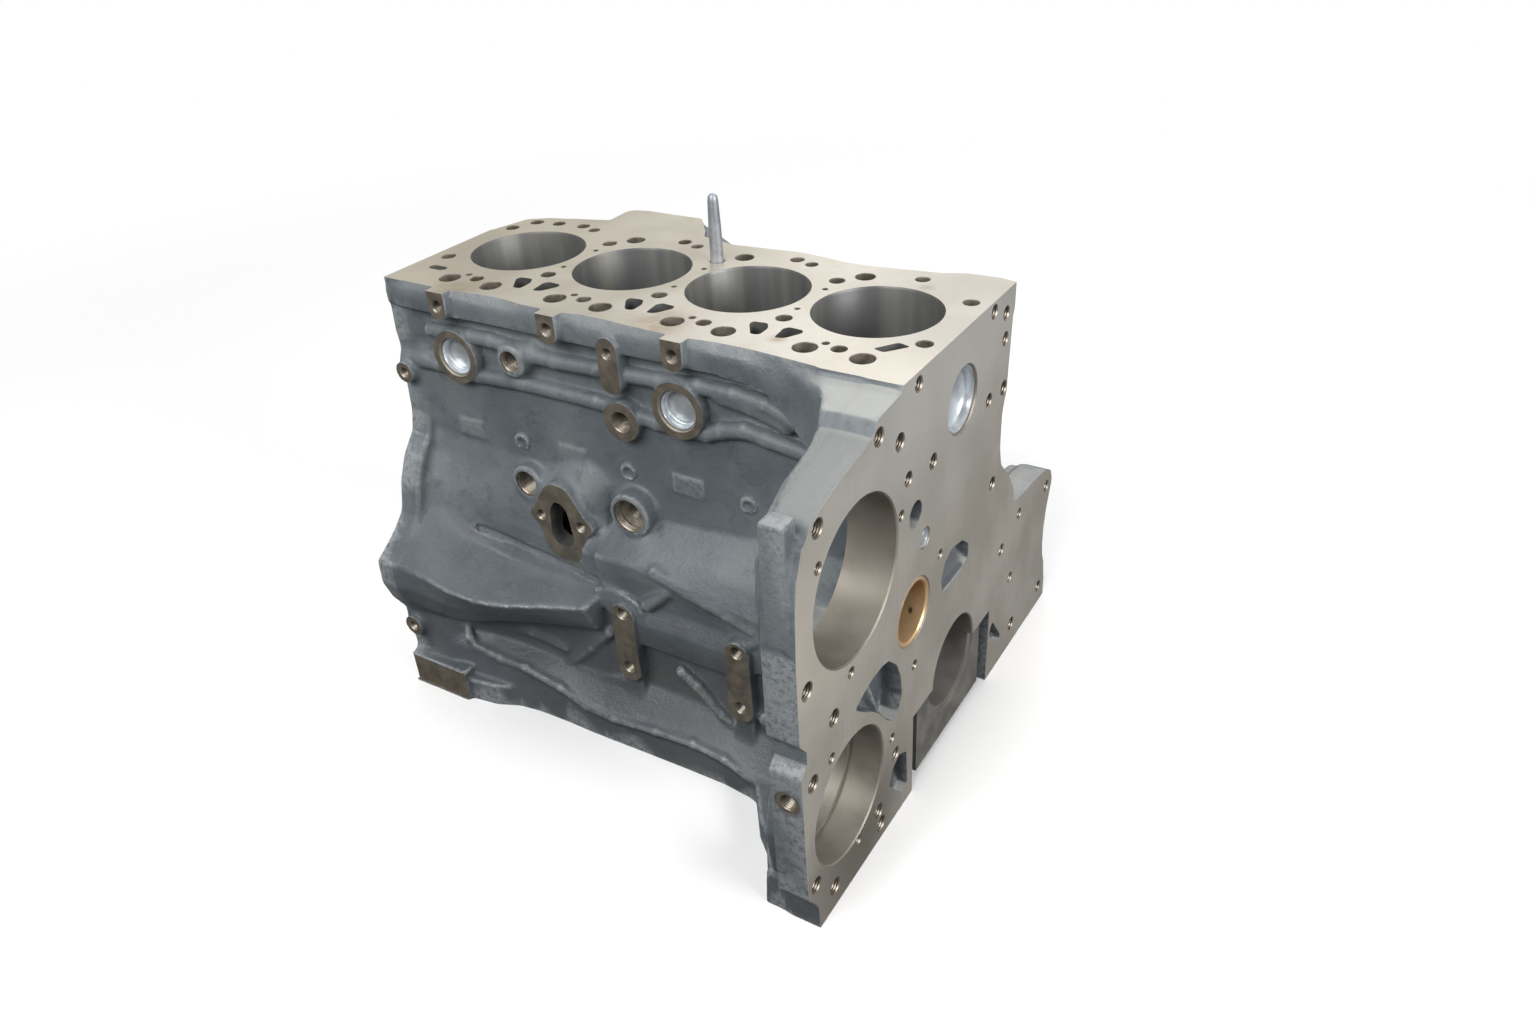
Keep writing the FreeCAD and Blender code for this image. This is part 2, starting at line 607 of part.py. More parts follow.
# Far rear corner, cut back under the curved edge of the head face
sk = new_sketch(block, XY, deck, "rear_corner")
add_polygon(sk, [(-length - 1, 28.0), (-length + 1, 30.0), (-length + 12, 70.0 * grow_f), (-length + 32, 83.0 * grow_f),
                 (-length + 57, 91.0 * grow_f), (-length + 57, S["wall_far"] + 20), (-length - 1, S["wall_far"] + 20)])
pocket(block, sk, 62.0)

# Head bolt holes
sk = new_sketch(block, XY, deck, "head_bolt_holes")
add_circles(sk, [(x, y, S["head_bolt"] / 2) for x, y in near_bolts + mid_bolts])
add_circles(sk, [(b + 4.0, 76.0, S["head_bolt"] / 2 - 0.5) for b in BORES])
add_circles(sk, [(b + 7.0, -77.0, S["head_bolt"] / 2 - 0.5) for b in BORES])
pocket(block, sk, 62.0)

# Coolant and oil holes between the cylinders on the far side
sk = new_sketch(block, XY, deck, "far_water_holes")
add_circles(sk, [(x + 17.5, 62.5, 8.4) for x in WALLS[1:4]])
add_circles(sk, [(x - 38.5, 70.5, 5.4) for x in WALLS[1:4]])
add_circles(sk, [(WALLS[4] + 36.0, 73.0, 6.0), (WALLS[4] + 12.0, 68.0, 6.5)])
pocket(block, sk, 20.0)

# Small vent holes beside the bolts
sk = new_sketch(block, XY, deck, "vent_holes")
add_circles(sk, [(x, 24.0, 2.4) for x in WALLS[1:4]] + [(x, -22.0, 2.4) for x in WALLS[1:4]])
add_circles(sk, [(b - 7.0, -72.0, 3.1) for b in BORES])
pocket(block, sk, 18.0)

# Push-rod passages down to the camshaft
sk = new_sketch(block, XY, deck, "push_holes")
add_circles(sk, [(b + s, -85.0 * grow_n, S["push_dia"] / 2) for b in BORES for s in (-17.5, 30.5)])
pocket(block, sk, deck - S["cam_up"] - 16)

# Pairs of water openings between the cylinders on the near side
FIRST = [(-19.0, -58.5), (-6.0, -57.0), (-0.8, -66.0), (-0.8, -79.0), (-8.0, -80.5), (-19.0, -64.0)]
SECOND = [(10.0, -61.0), (13.0, -57.0), (26.0, -58.0), (28.0, -63.0), (20.0, -77.0), (12.0, -79.0)]
sk = new_sketch(block, XY, deck, "near_water_slots")
for x in WALLS[1:4]:
    add_rounded(sk, [(x + a, b) for a, b in FIRST], 2.5)
    add_rounded(sk, [(x + a, b) for a, b in SECOND], 2.5)
add_rounded(sk, [(-47.0, -66.0), (-34.0, -48.5), (-23.0, -52.0), (-37.0, -69.0)], 2.5)
add_rounded(sk, slot_points(WALLS[4] + 13.5, -70.0, 4.8, 9.6), 4.5)
pocket(block, sk, 20.0)

# Crankshaft bore through all the walls
block.stage("cut")
sk = new_sketch(block, YZ, 0.0, "crank_bore")
add_circles(sk, [(0.0, 0.0, S["crank_dia"] / 2)])
pocket(block, sk)

# Camshaft tunnel and its wider seat at the gear end
cam_y = -S["cam_near"]
sk = new_sketch(block, YZ, 0.0, "cam_tunnel_line")
add_circles(sk, [(cam_y, S["cam_up"], S["cam_tunnel"] / 2)])
pocket(block, sk, length - 11)
seat_r = S["bush_dia"] / 2 + S["bush_wall"]
sk = new_sketch(block, YZ, 0.0, "bush_seat")
add_circles(sk, [(cam_y, S["cam_up"], seat_r)])
pocket(block, sk, S["bush_len"] + 1)
sk = new_sketch(block, YZ, -length, "cam_rear_seat")
add_circles(sk, [(cam_y, S["cam_up"], seat_r)])
pocket(block, sk, S["plug_deep"] + 2, reverse=True)

# Two large gear-pocket bores in the flange
sk = new_sketch(block, YZ, 0.0, "pump_bore")
add_circles(sk, [(-S["pump_y"], S["pump_z"], S["pump_dia"] / 2)])
pocket(block, sk, S["flange_core"] + 60)
sk = new_sketch(block, YZ, 0.0, "drive_bore")
add_circles(sk, [(-S["drive_y"], S["drive_z"], S["drive_dia"] / 2)])
pocket(block, sk, S["flange_core"] - 12)
sk = new_sketch(block, YZ, 0.0, "drive_bore_lip")
add_circles(sk, [(-S["drive_y"], S["drive_z"], S["drive_dia"] / 2 - S["drive_lip"])])
pocket(block, sk, S["flange_core"] + 90)

# Cast pockets in the gear-end face
block.stage("cut")
POCKETS = [
    ([(-190, 92), (-162, 99), (-136, 97), (-119, 83), (-110.5, 64), (-109, 46), (-116, 33), (-127, 30),
      (-141, 43), (-158, 62), (-174, 75)], 22.0),
    ([(-131, -41), (-123, -25), (-110, -21), (-98, -29), (-95, -66), (-106, -71)], 20.0),
    ([(-30, 97), (-30, 112), (-18, 128), (8, 127), (23, 114), (23, 101), (8, 94)], 26.0),
    ([(99, -50), (103, -29), (131, -61), (128, -69)], 20.0),
]
for i, (points, depth) in enumerate(POCKETS):
    sk = new_sketch(block, YZ, 0.0, "face_pocket_%d" % (i + 1))
    add_rounded(sk, [gear_point(y, z) for y, z in points], 5.0)
    pocket(block, sk, depth)

# Threaded and plain holes in the gear-end face: y, z, radius
FACE_HOLES = [
    (-87, 313, 5.5), (-150, 301, 6.5), (-237, 278, 6.5), (-238, 248, 4.0), (-117, 281, 6.5), (-102, 243, 5.5),
    (-58, 235.5, 6.0), (-113.5, 218, 3.8), (-39, 139, 3.8), (-258, 160, 6.5), (-195, 130, 4.0), (-222, 108, 6.5),
    (-255, 72, 6.5), (-227, 73, 3.8), (-85, 57, 3.8), (-126, 10, 3.8), (-119, -13, 5.5), (-256, -33, 6.5),
    (-187, -50.5, 3.8), (-227, -64, 7.0), (-150, -52, 6.5), (-146, -70, 6.5), (55, 314, 5.5), (82, 303, 5.5),
    (83, 280, 5.5), (53, 237, 5.5), (86, 234, 6.0), (72, 147, 6.0), (107, 56, 5.5), (151, 72, 4.8),
    (137, 6, 4.8), (150, -60, 6.5), (229, 61, 5.5), (230, -64, 5.5),
]
sk = new_sketch(block, YZ, 0.0, "face_holes")
add_circles(sk, [gear_point(y, z) + (r,) for y, z, r in FACE_HOLES])
pocket(block, sk, 24.0)
sk = new_sketch(block, YZ, 0.0, "face_passage")
add_circles(sk, [(-88.0, 205 * rise, 11.0)])
pocket(block, sk, 33.0)

# Seats of the core plugs and the gallery plug
block.stage("cut")
end_plug = (-3.8, 263 * rise, S["plug_end"] / 2)
sk = new_sketch(block, YZ, 0.0, "end_plug_seat")
add_circles(sk, [end_plug])
pocket(block, sk, S["plug_deep"])
gallery_plug = (-70.0, 173 * rise, 9.0)
sk = new_sketch(block, YZ, 0.0, "gallery_seat")
add_circles(sk, [gallery_plug])
pocket(block, sk, S["plug_deep"] - 2)
side_plug_r = S["plug_side"] / 2
near_top = S["wall_near"] + 9
NEAR_PLUGS = [(-197 * stretch, 260 * rise), (-437 * stretch, 261 * rise)]
sk = new_sketch(block, XZ, near_top, "near_plug_seats")
add_circles(sk, [(x, z, side_plug_r) for x, z in NEAR_PLUGS])
pocket(block, sk, S["plug_deep"])
sk = new_sketch(block, XZ, near_top, "near_plug_passages")
add_circles(sk, [(x + 7.0, z, 10.0) for x, z in NEAR_PLUGS])
pocket(block, sk, near_top - 70)
far_top = -S["wall_far"] - 8
FAR_PLUGS = [(x, 250 * rise) for x in (BORES[0], BORES[1], BORES[2])]
sk = new_sketch(block, XZ, far_top, "far_plug_seats")
add_circles(sk, [(x, z, side_plug_r) for x, z in FAR_PLUGS])
pocket(block, sk, S["plug_deep"], reverse=True)
rear_plug = (-3.8, 263 * rise, S["plug_end"] / 2)
sk = new_sketch(block, YZ, -length, "rear_plug_seat")
add_circles(sk, [rear_plug])
pocket(block, sk, S["plug_deep"], reverse=True)

# Ports and threaded holes of the near side: x, z, radius, depth, wall offset
block.stage("cut")
wall_n, case_s = S["wall_near"], S["case_near"]
SIDE_HOLES = [
    ("port_1", wall_n + 8, [(-370 * stretch, 269.5 * rise, 9.0)], 16.0),
    ("port_2", wall_n + 9, [(-256 * stretch, 237 * rise, 8.5)], 22.0),
    ("port_3", wall_n + 13, [(-372.5 * stretch, 150 * rise, 11.0)], 20.0),
    ("port_4_step", wall_n + 16, [(-254.5 * stretch, 149.5 * rise, 14.5)], 7.0),
    ("port_4", wall_n + 16, [(-254.5 * stretch, 149.5 * rise, 8.0)], 26.0),
    ("oblong_hole", wall_n + 12, [(-259 * stretch, deck - 24, 4.3)], 22.0),
    ("notch_holes", wall_n + 14.6, [(x * stretch, deck - 13, 4.3) for x in (-441.0, -318.0, -193.0)], 24.0),
    ("lug_hole_high", wall_n + 14, [(-502 * stretch, 234 * rise, 4.3)], 20.0),
    ("lug_hole_low", case_s + 42, [(-500 * stretch, -14.0 * drop, 4.3)], 20.0),
    ("pump_bolt_holes", wall_n + 26, [(mid_x - 22.5, 131 * rise, 4.3), (mid_x + 22.5, 130 * rise, 4.3)], 20.0),
    ("pad_holes", case_s + 7, [(x, z * rise, 5.3) for x in PADS for z in (60.5, 0.5)], 15.0),
]
for name, offset, circles, depth in SIDE_HOLES:
    sk = new_sketch(block, XZ, offset, name)
    add_circles(sk, circles)
    pocket(block, sk, depth)
sk = new_sketch(block, XZ, wall_n + 26, "pump_opening")
add_rounded(sk, [(mid_x - 13, 112 * rise), (mid_x - 7, 104 * rise), (mid_x + 7, 104 * rise), (mid_x + 13, 112 * rise),
                 (mid_x + 9, 142 * rise), (mid_x + 3, 149 * rise), (mid_x - 5, 149 * rise), (mid_x - 11, 140 * rise)], 5.0)
pocket(block, sk, 44.0)

# Threaded port in the flange's side
sk = new_sketch(block, XZ, 271.0, "flange_port")
add_circles(sk, [(-13.0, 60 * rise, 7.0)])
pocket(block, sk, 13.0)

# Sump bolt holes up into the rail
block.stage("cut")
sk = new_sketch(block, XY, -rail, "sump_holes")
RAIL_X = [-150 - 58 * i for i in range(5)]
holes = [(x * stretch, -(S["rail_near"] - 10), 4.2) for x in RAIL_X]
holes += [(x * stretch, S["rail_far"] - 9, 4.2) for x in RAIL_X]
holes += [(-14.0, y, 4.2) for y in (-230.0, -180.0, -125.0, 125.0, 180.0, 230.0)]
holes += [(-length + 13, y, 4.2) for y in (-150.0, -110.0, 110.0, 150.0)]
add_circles(sk, holes)
pocket(block, sk, 18.0, reverse=True)

# Cap bolt threads and dowel seats in the bearing walls
bolt_r = S["bolt_dia"] / 2
ring_r = bolt_r + S["bolt_gap"] + 1.6
RING_HALF = 5.0
cap_y = S["cap_bolt_y"]
sk = new_sketch(block, XY, 0.0, "cap_threads")
add_circles(sk, [(x, y, bolt_r + S["seat_gap"]) for x in WALLS for y in (-cap_y, cap_y)])
pocket(block, sk, S["bolt_grip"] + 4, reverse=True)
sk = new_sketch(block, XY, 0.0, "cap_dowel_seats")
add_circles(sk, [(x, y, ring_r + S["seat_gap"]) for x in WALLS for y in (-cap_y, cap_y)])
pocket(block, sk, RING_HALF + 0.2, reverse=True)

# Rear flange bolt holes round the flywheel housing
sk = new_sketch(block, YZ, -length, "rear_holes")
REAR_HOLES = [(-95, 300), (-92, 200), (-128, 120), (-176, 55), (-160, -20), (-160, -70), (20, 306), (80, 200),
              (128, 110), (165, 30), (160, -66), (0, 190)]
add_circles(sk, [gear_point(y, z) + (5.2,) for y, z in REAR_HOLES])
pocket(block, sk, 20.0, reverse=True)

whole = None
for i, (kind, solids) in enumerate(block.stages):
    if kind == "add":
        joined = doc.addObject("Part::MultiFuse", "stock_%d" % i)
        joined.Shapes = ([whole] if whole else []) + solids
        joined.Refine = False
        whole = joined
    else:
        tools = doc.addObject("Part::MultiFuse", "cutters_%d" % i)
        tools.Shapes = solids
        tools.Refine = False
        cut = doc.addObject("Part::Cut", "machined_%d" % i)
        cut.Base = whole
        cut.Tool = tools
        cut.Refine = False
        whole = cut
whole.Label = "cylinder_block"
block = whole

# Five main bearing caps; the end caps are deeper than the others
head_r = bolt_r * 1.85
caps = []
bolts = []
for k in range(5):
    end_cap = k in (0, 4)
    low_z = -rail + (S["end_cap_short"] if end_cap else S["cap_short"])
    cap = new_body("main_cap_%d" % (k + 1))
    back_x = WALLS[k] - half_web
    front_x = -S["cap_recess"] if k == 0 else WALLS[k] + half_web
    thick = front_x - back_x
    half = S["cap_width"] / 2
    sk = new_sketch(cap, YZ, front_x, "cap_outline_%d" % (k + 1))
    if end_cap:
        add_polygon(sk, [(-half, low_z), (half, low_z), (half, 0.0), (-half, 0.0)])
    else:
        add_polygon(sk, [(-half, low_z + 14), (-half + 27, low_z + 14), (-half + 31, low_z),
                         (half - 31, low_z), (half - 27, low_z + 14), (half, low_z + 14),
                         (half, 0.0), (-half, 0.0)])
    pad(cap, sk, thick, reverse=True)
    sk = new_sketch(cap, YZ, front_x, "cap_bore_%d" % (k + 1))
    add_circles(sk, [(0.0, 0.0, S["crank_dia"] / 2)])
    pocket(cap, sk)
    if k == 0:
        sk = new_sketch(cap, YZ, front_x, "cap_face_recess")
        add_circles(sk, [(0.0, 0.0, S["crank_dia"] / 2 + 9.5)])
        pocket(cap, sk, 1.8)
    sk = new_sketch(cap, XY, 0.0, "cap_bolt_holes_%d" % (k + 1))
    add_circles(sk, [(WALLS[k], y, bolt_r + S["bolt_gap"]) for y in (-cap_y, cap_y)])
    pocket(cap, sk)
    sk = new_sketch(cap, XY, 0.0, "cap_dowel_holes_%d" % (k + 1))
    add_circles(sk, [(WALLS[k], y, ring_r + S["seat_gap"]) for y in (-cap_y, cap_y)])
    pocket(cap, sk, RING_HALF + 0.2)
    seat_z = -rail + S["cap_short"] + 14
    if end_cap:
        sk = new_sketch(cap, XY, low_z, "cap_seats_%d" % (k + 1))
        add_circles(sk, [(WALLS[k], y, bolt_r * 1.6 + S["bolt_gap"] * 1.5) for y in (-cap_y, cap_y)])
        pocket(cap, sk, seat_z - low_z, reverse=True)
    caps.append(cap)

    # The pair of bolts through this cap, each a shank and a flanged hex head
    pair = []
    for side, y in (("near", -cap_y), ("far", cap_y)):
        shank = doc.addObject("Part::Cylinder", "shank_%d_%s" % (k + 1, side))
        shank.setExpression("Radius", bolt_r.text)
        shank.setExpression("Height", (S["bolt_grip"] - seat_z).text)
        shank.setExpression("Placement.Base.x", WALLS[k].text)
        shank.setExpression("Placement.Base.y", y.text)
        shank.setExpression("Placement.Base.z", seat_z.text)
        collar = doc.addObject("Part::Cylinder", "collar_%d_%s" % (k + 1, side))
        collar.setExpression("Radius", (bolt_r * 1.6).text)
        collar.Height = 2.5
        collar.setExpression("Placement.Base.x", WALLS[k].text)
        collar.setExpression("Placement.Base.y", y.text)
        collar.setExpression("Placement.Base.z", (seat_z - 2.5).text)
        hexagon = doc.addObject("Part::Prism", "hex_%d_%s" % (k + 1, side))
        hexagon.Polygon = 6
        hexagon.setExpression("Circumradius", (bolt_r * 1.45).text)
        hexagon.Height = 10.0
        hexagon.setExpression("Placement.Base.x", WALLS[k].text)
        hexagon.setExpression("Placement.Base.y", y.text)
        hexagon.setExpression("Placement.Base.z", (seat_z - 12).text)
        pair += [shank, collar, hexagon]
    both = doc.addObject("Part::MultiFuse", "cap_bolts_%d" % (k + 1))
    both.Shapes = pair
    both.Label = "cap_bolts_%d" % (k + 1)
    bolts.append(both)

# Hollow dowels that centre each cap round its bolts
dowels = []
for k in range(5):
    for side, y in (("near", -cap_y), ("far", cap_y)):
        outer = doc.addObject("Part::Cylinder", "dowel_outer_%d_%s" % (k + 1, side))
        core = doc.addObject("Part::Cylinder", "dowel_core_%d_%s" % (k + 1, side))
        outer.setExpression("Radius", ring_r.text)
        core.setExpression("Radius", (bolt_r + S["bolt_gap"] * 0.7).text)
        for piece in (outer, core):
            piece.Height = 2 * RING_HALF
            piece.setExpression("Placement.Base.x", WALLS[k].text)
            piece.setExpression("Placement.Base.y", y.text)
            piece.Placement.Base.z = -RING_HALF
        ringed = doc.addObject("Part::Cut", "dowel_%d_%s" % (k + 1, side))
        ringed.Base = outer
        ringed.Tool = core
        dowels.append(ringed)
cap_dowels = doc.addObject("Part::Compound", "cap_dowels")
cap_dowels.Links = dowels
cap_dowels.Label = "cap_dowels"


def revolved(label, profile, axis, base):
    """A turned piece from a half profile of (radius, along) corners, its axis along X or Y through base."""
    body = new_body(label)
    sk = new_sketch(body, XZ, 0.0, label + "_profile")
    add_polygon(sk, profile)
    turn = body.newObject("PartDesign::Revolution", label + "_turn")
    turn.Profile = sk
    turn.ReferenceAxis = (sk, ["V_Axis"])
    turn.Angle = 360.0
    sk.Visibility = False
    if axis == "x":
        body.Placement.Rotation = FreeCAD.Rotation(FreeCAD.Vector(0, 1, 0), 90)
    elif axis == "-x":
        body.Placement.Rotation = FreeCAD.Rotation(FreeCAD.Vector(0, 1, 0), -90)
    elif axis == "-y":
        body.Placement.Rotation = FreeCAD.Rotation(FreeCAD.Vector(1, 0, 0), 90)
    elif axis == "y":
        body.Placement.Rotation = FreeCAD.Rotation(FreeCAD.Vector(1, 0, 0), -90)
    for letter, v in zip("xyz", base):
        if isinstance(v, Dim):
            body.setExpression("Placement.Base." + letter, v.text)
        elif letter == "x":
            body.Placement.Base.x = v
        elif letter == "y":
            body.Placement.Base.y = v
        else:
            body.Placement.Base.z = v
    return body


def cup_profile(radius, depth, sink):
    """Half section of a pressed cup plug, mouth outward, sunk below its boss."""
    wall = S["plug_wall"]
    r = radius - S["seat_gap"]
    return [(0.0, -depth), (r - 1, -depth), (r, -depth + 1), (r, -sink), (r - wall, -sink),
            (r - wall, -depth + wall), (0.0, -depth + wall)]


turned = []
turned.append(revolved("camshaft_bush", [
    (S["bush_dia"] / 2, -S["bush_len"] - 0.5), (seat_r - S["seat_gap"], -S["bush_len"] - 0.5),
    (seat_r - S["seat_gap"], -0.5), (S["bush_dia"] / 2, -0.5)], "x", (0.0, cam_y, S["cam_up"])))
bush = turned.pop()
bush.Label = "camshaft_bush_turned"
oil = doc.addObject("Part::Cylinder", "bush_oil_hole")
oil.Radius = 2.4
oil.Height = 8.0
oil.Placement.Rotation = FreeCAD.Rotation(FreeCAD.Vector(1, 0, 0), -128)
oil_from = S["bush_dia"] / 2 - 2.0
oil.setExpression("Placement.Base.x", (-S["bush_len"] / 2).text)
oil.setExpression("Placement.Base.y", (oil_from * 0.788 - S["cam_near"]).text)
oil.setExpression("Placement.Base.z", (S["cam_up"] - oil_from * 0.616).text)
drilled_bush = doc.addObject("Part::Cut", "camshaft_bush")
drilled_bush.Base = bush
drilled_bush.Tool = oil
drilled_bush.Label = "camshaft_bush"
turned.append(drilled_bush)
turned.append(revolved("core_plug_gear_end", cup_profile(end_plug[2], S["plug_deep"], 2.0), "x",
                       (0.0, end_plug[0], end_plug[1])))
turned.append(revolved("gallery_plug_gear_end", cup_profile(Dim(9.0, "(9.0)"), S["plug_deep"] - 2, 1.0), "x",
                       (0.0, gallery_plug[0], gallery_plug[1])))
for i, (x, z) in enumerate(NEAR_PLUGS):
    turned.append(revolved("core_plug_near_%d" % (i + 1), cup_profile(side_plug_r, S["plug_deep"], 2.5), "-y", (x, -near_top, z)))
for i, (x, z) in enumerate(FAR_PLUGS):
    turned.append(revolved("core_plug_far_%d" % (i + 1), cup_profile(side_plug_r, S["plug_deep"], 2.5), "y", (x, -far_top, z)))
turned.append(revolved("core_plug_rear", cup_profile(rear_plug[2], S["plug_deep"], 2.0), "-x", (-length, rear_plug[0], rear_plug[1])))
turned.append(revolved("camshaft_rear_plug", cup_profile(seat_r, S["plug_deep"] + 2, 2.0), "-x", (-length, cam_y, S["cam_up"])))

# Plain guide stud standing in a head bolt hole
stud_r = S["stud_dia"] / 2
low_r = S["head_bolt"] / 2 - S["seat_gap"]
turned.append(revolved("guide_stud", [
    (0.0, -40.0), (low_r - 1, -40.0), (low_r, -39.0), (low_r, -4.0), (stud_r + 0.4, -3.0), (stud_r, S["stud_up"] * 0.55),
    (stud_r - 1.0, S["stud_up"] - 4), (stud_r - 2.6, S["stud_up"] - 0.8), (stud_r - 4.0, S["stud_up"]), (0.0, S["stud_up"])],
    "z", (WALLS[2], 45.0, deck)))

doc.recompute()

nodes = [block] + caps + bolts + [cap_dowels] + turned
problems = []
for obj in doc.Objects:
    if "Invalid" in obj.State or "Error" in obj.State:
        problems.append("%s is %s" % (obj.Label, obj.State))
for node in nodes:
    if node.Shape.isNull() or not node.Shape.isValid():
        problems.append("%s has no valid shape" % node.Label)
if problems:
    raise RuntimeError("; ".join(problems))

os.makedirs("parts", exist_ok=True)
for node in nodes:
    node.Shape.exportStep("parts/%s.step" % node.Label)
    box = node.Shape.BoundBox
    print("%-24s solids %d volume %.0f box %.1f %.1f %.1f  %.1f %.1f %.1f" % (
        node.Label, len(node.Shape.Solids), node.Shape.Volume,
        box.XMin, box.YMin, box.ZMin, box.XMax, box.YMax, box.ZMax))
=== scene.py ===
"""Looks of a bare four-cylinder engine block: painted casting, machined faces, plugs and caps."""
import math

import bpy
import numpy as np
import openvdb
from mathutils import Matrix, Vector


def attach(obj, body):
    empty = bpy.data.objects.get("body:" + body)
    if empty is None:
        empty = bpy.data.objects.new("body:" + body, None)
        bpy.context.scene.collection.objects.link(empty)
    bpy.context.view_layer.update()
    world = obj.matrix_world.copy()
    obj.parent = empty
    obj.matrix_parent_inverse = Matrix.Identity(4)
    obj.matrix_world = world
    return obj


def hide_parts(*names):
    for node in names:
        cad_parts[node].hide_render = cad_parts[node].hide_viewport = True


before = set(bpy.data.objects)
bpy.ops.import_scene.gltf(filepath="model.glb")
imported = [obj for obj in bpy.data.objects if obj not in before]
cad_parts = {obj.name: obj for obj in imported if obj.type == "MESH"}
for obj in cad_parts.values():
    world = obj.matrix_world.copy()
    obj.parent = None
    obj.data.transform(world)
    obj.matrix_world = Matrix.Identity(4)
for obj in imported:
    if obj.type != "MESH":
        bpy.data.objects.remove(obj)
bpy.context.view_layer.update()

# Sizes shared with the construction, in millimetres
MM = 0.001
DECK = 323.0
RAIL = -86.0
LENGTH = 512.0
PITCH = 120.0
WALLS = [-16.0 - PITCH * k for k in range(5)]
BORES = [-76.0 - PITCH * k for k in range(4)]
BORE_RADIUS = 52.0
CRANK_RADIUS = 44.0
CAM = (-88.0, 113.0)
CAM_SEAT = 29.5
CAM_TUNNEL = 27.0
UPPER_BORE = (-182.7, 203.0, 63.6)
LOWER_BORE = (-198.5, 10.3, 56.0)
LOWER_STEP = 51.0
END_PLUG = (-3.8, 263.0)
END_PLUG_RADIUS = 28.0
GALLERY = (-70.0, 173.0)
GALLERY_RADIUS = 9.0
SIDE_PLUG_RADIUS = 17.5
NEAR_PLUGS = [(-197.0, 260.0), (-437.0, 261.0)]
NEAR_PLUG_FACE = -113.0
FAR_PLUGS = [(x, 250.0) for x in BORES[:3]]
FAR_PLUG_FACE = 94.0
NOTCH_X = (-441.0, -318.0, -193.0)
PAD_X = (-256.0, -136.0)
PUMP_X = -325.5


# Distance field of the casting

STEP = 2.0
LOW = (-522.0, -282.0, -98.0)
COUNT = (269, 272, 216)
AXES = [(LOW[i] + STEP * np.arange(COUNT[i])).astype(np.float32) for i in range(3)]
field = None


def smooth_min(a, b, k):
    h = np.maximum(k - np.abs(a - b), 0.0) / k
    return np.minimum(a, b) - h * h * (k * 0.25)


def smooth_max(a, b, k):
    h = np.maximum(k - np.abs(a - b), 0.0) / k
    return np.maximum(a, b) + h * h * (k * 0.25)


def blurred(values, times, axes):
    """Values averaged with their neighbours along some axes, a number of times."""
    for axis in axes:
        for _ in range(times):
            before = np.take(values, [0] + list(range(values.shape[axis] - 1)), axis)
            after = np.take(values, list(range(1, values.shape[axis])) + [values.shape[axis] - 1], axis)
            values = values * 0.5 + (before + after) * 0.25
    return values


def outline_distance(u, v, points):
    """Signed distance from a closed outline, negative inside it."""
    shape = np.broadcast(u, v).shape
    best = np.full(shape, 1e9, np.float32)
    inside = np.zeros(shape, bool)
    for i, (a, b) in enumerate(points):
        c, d = points[(i + 1) % len(points)]
        ex, ey = c - a, d - b
        wx, wy = u - a, v - b
        t = np.clip((wx * ex + wy * ey) / max(ex * ex + ey * ey, 1e-6), 0.0, 1.0)
        best = np.minimum(best, (wx - ex * t) ** 2 + (wy - ey * t) ** 2)
        if b != d:
            inside ^= ((b > v) != (d > v)) & (u < ex * (v - b) / (d - b) + a)
    best = np.sqrt(best)
    return np.where(inside, -best, best).astype(np.float32)


def round_edges(flat, along, r):
    """Meeting of an outline and a span, its edges rounded."""
    p, q = flat + r, along + r
    return np.minimum(np.maximum(p, q), 0.0) + np.sqrt(np.maximum(p, 0.0) ** 2 + np.maximum(q, 0.0) ** 2) - r


def window(low, high, pad):
    parts = []
    for i in range(3):
        a = max(int((low[i] - pad - LOW[i]) / STEP), 0)
        b = min(int((high[i] + pad - LOW[i]) / STEP) + 2, COUNT[i])
        parts.append(slice(a, max(b, a + 2)))
    x = AXES[0][parts[0]][:, None, None]
    y = AXES[1][parts[1]][None, :, None]
    z = AXES[2][parts[2]][None, None, :]
    return tuple(parts), x, y, z


def blend(shape, low, high, k, carve=False):
    """Adds a shape to the casting, or carves it out, with a fillet of about k."""
    parts, x, y, z = window(low, high, k + 6.0)
    d = shape(x, y, z)
    if carve:
        field[parts] = smooth_max(field[parts], -d, k)
    else:
        field[parts] = smooth_min(field[parts], d, k)


def across(axis, x, y, z):
    """The two coordinates across an axis, then the one along it."""
    return {"x": (y, z, x), "y": (x, z, y), "z": (x, y, z)}[axis]


def placed(axis, u, v, t):
    """A place from its two coordinates across an axis and the one along it."""
    return {"x": (t, u, v), "y": (u, t, v), "z": (u, v, t)}[axis]


def carried(axis, flat, low, high, start, end, k, r, carve):
    """Blends in a flat shape carried along an axis, its edges rounded by r."""
    def shape(x, y, z):
        u, v, t = across(axis, x, y, z)
        return round_edges(flat(u, v), np.abs(t - (start + end) / 2) - (end - start) / 2, r)

    blend(shape, placed(axis, *low, start), placed(axis, *high, end), k, carve)


def prism(axis, points, start, end, k, r=4.0, soft=1, carve=False):
    """An outline carried along one axis; its points are (y, z), (x, z) or (x, y)."""
    def flat(u, v):
        d = outline_distance(u, v, points)
        return blurred(d, soft, [i for i in range(3) if d.shape[i] > 1])

    carried(axis, flat, np.min(points, 0), np.max(points, 0), start, end, k, r, carve)


def disc(axis, centre, radius, start, end, k, r=2.5, carve=False):
    """A round boss or recess along one axis."""
    a, b = centre

    def flat(u, v):
        return np.sqrt((u - a) ** 2 + (v - b) ** 2) - radius

    carried(axis, flat, (a - radius, b - radius), (a + radius, b + radius), start, end, k, r, carve)


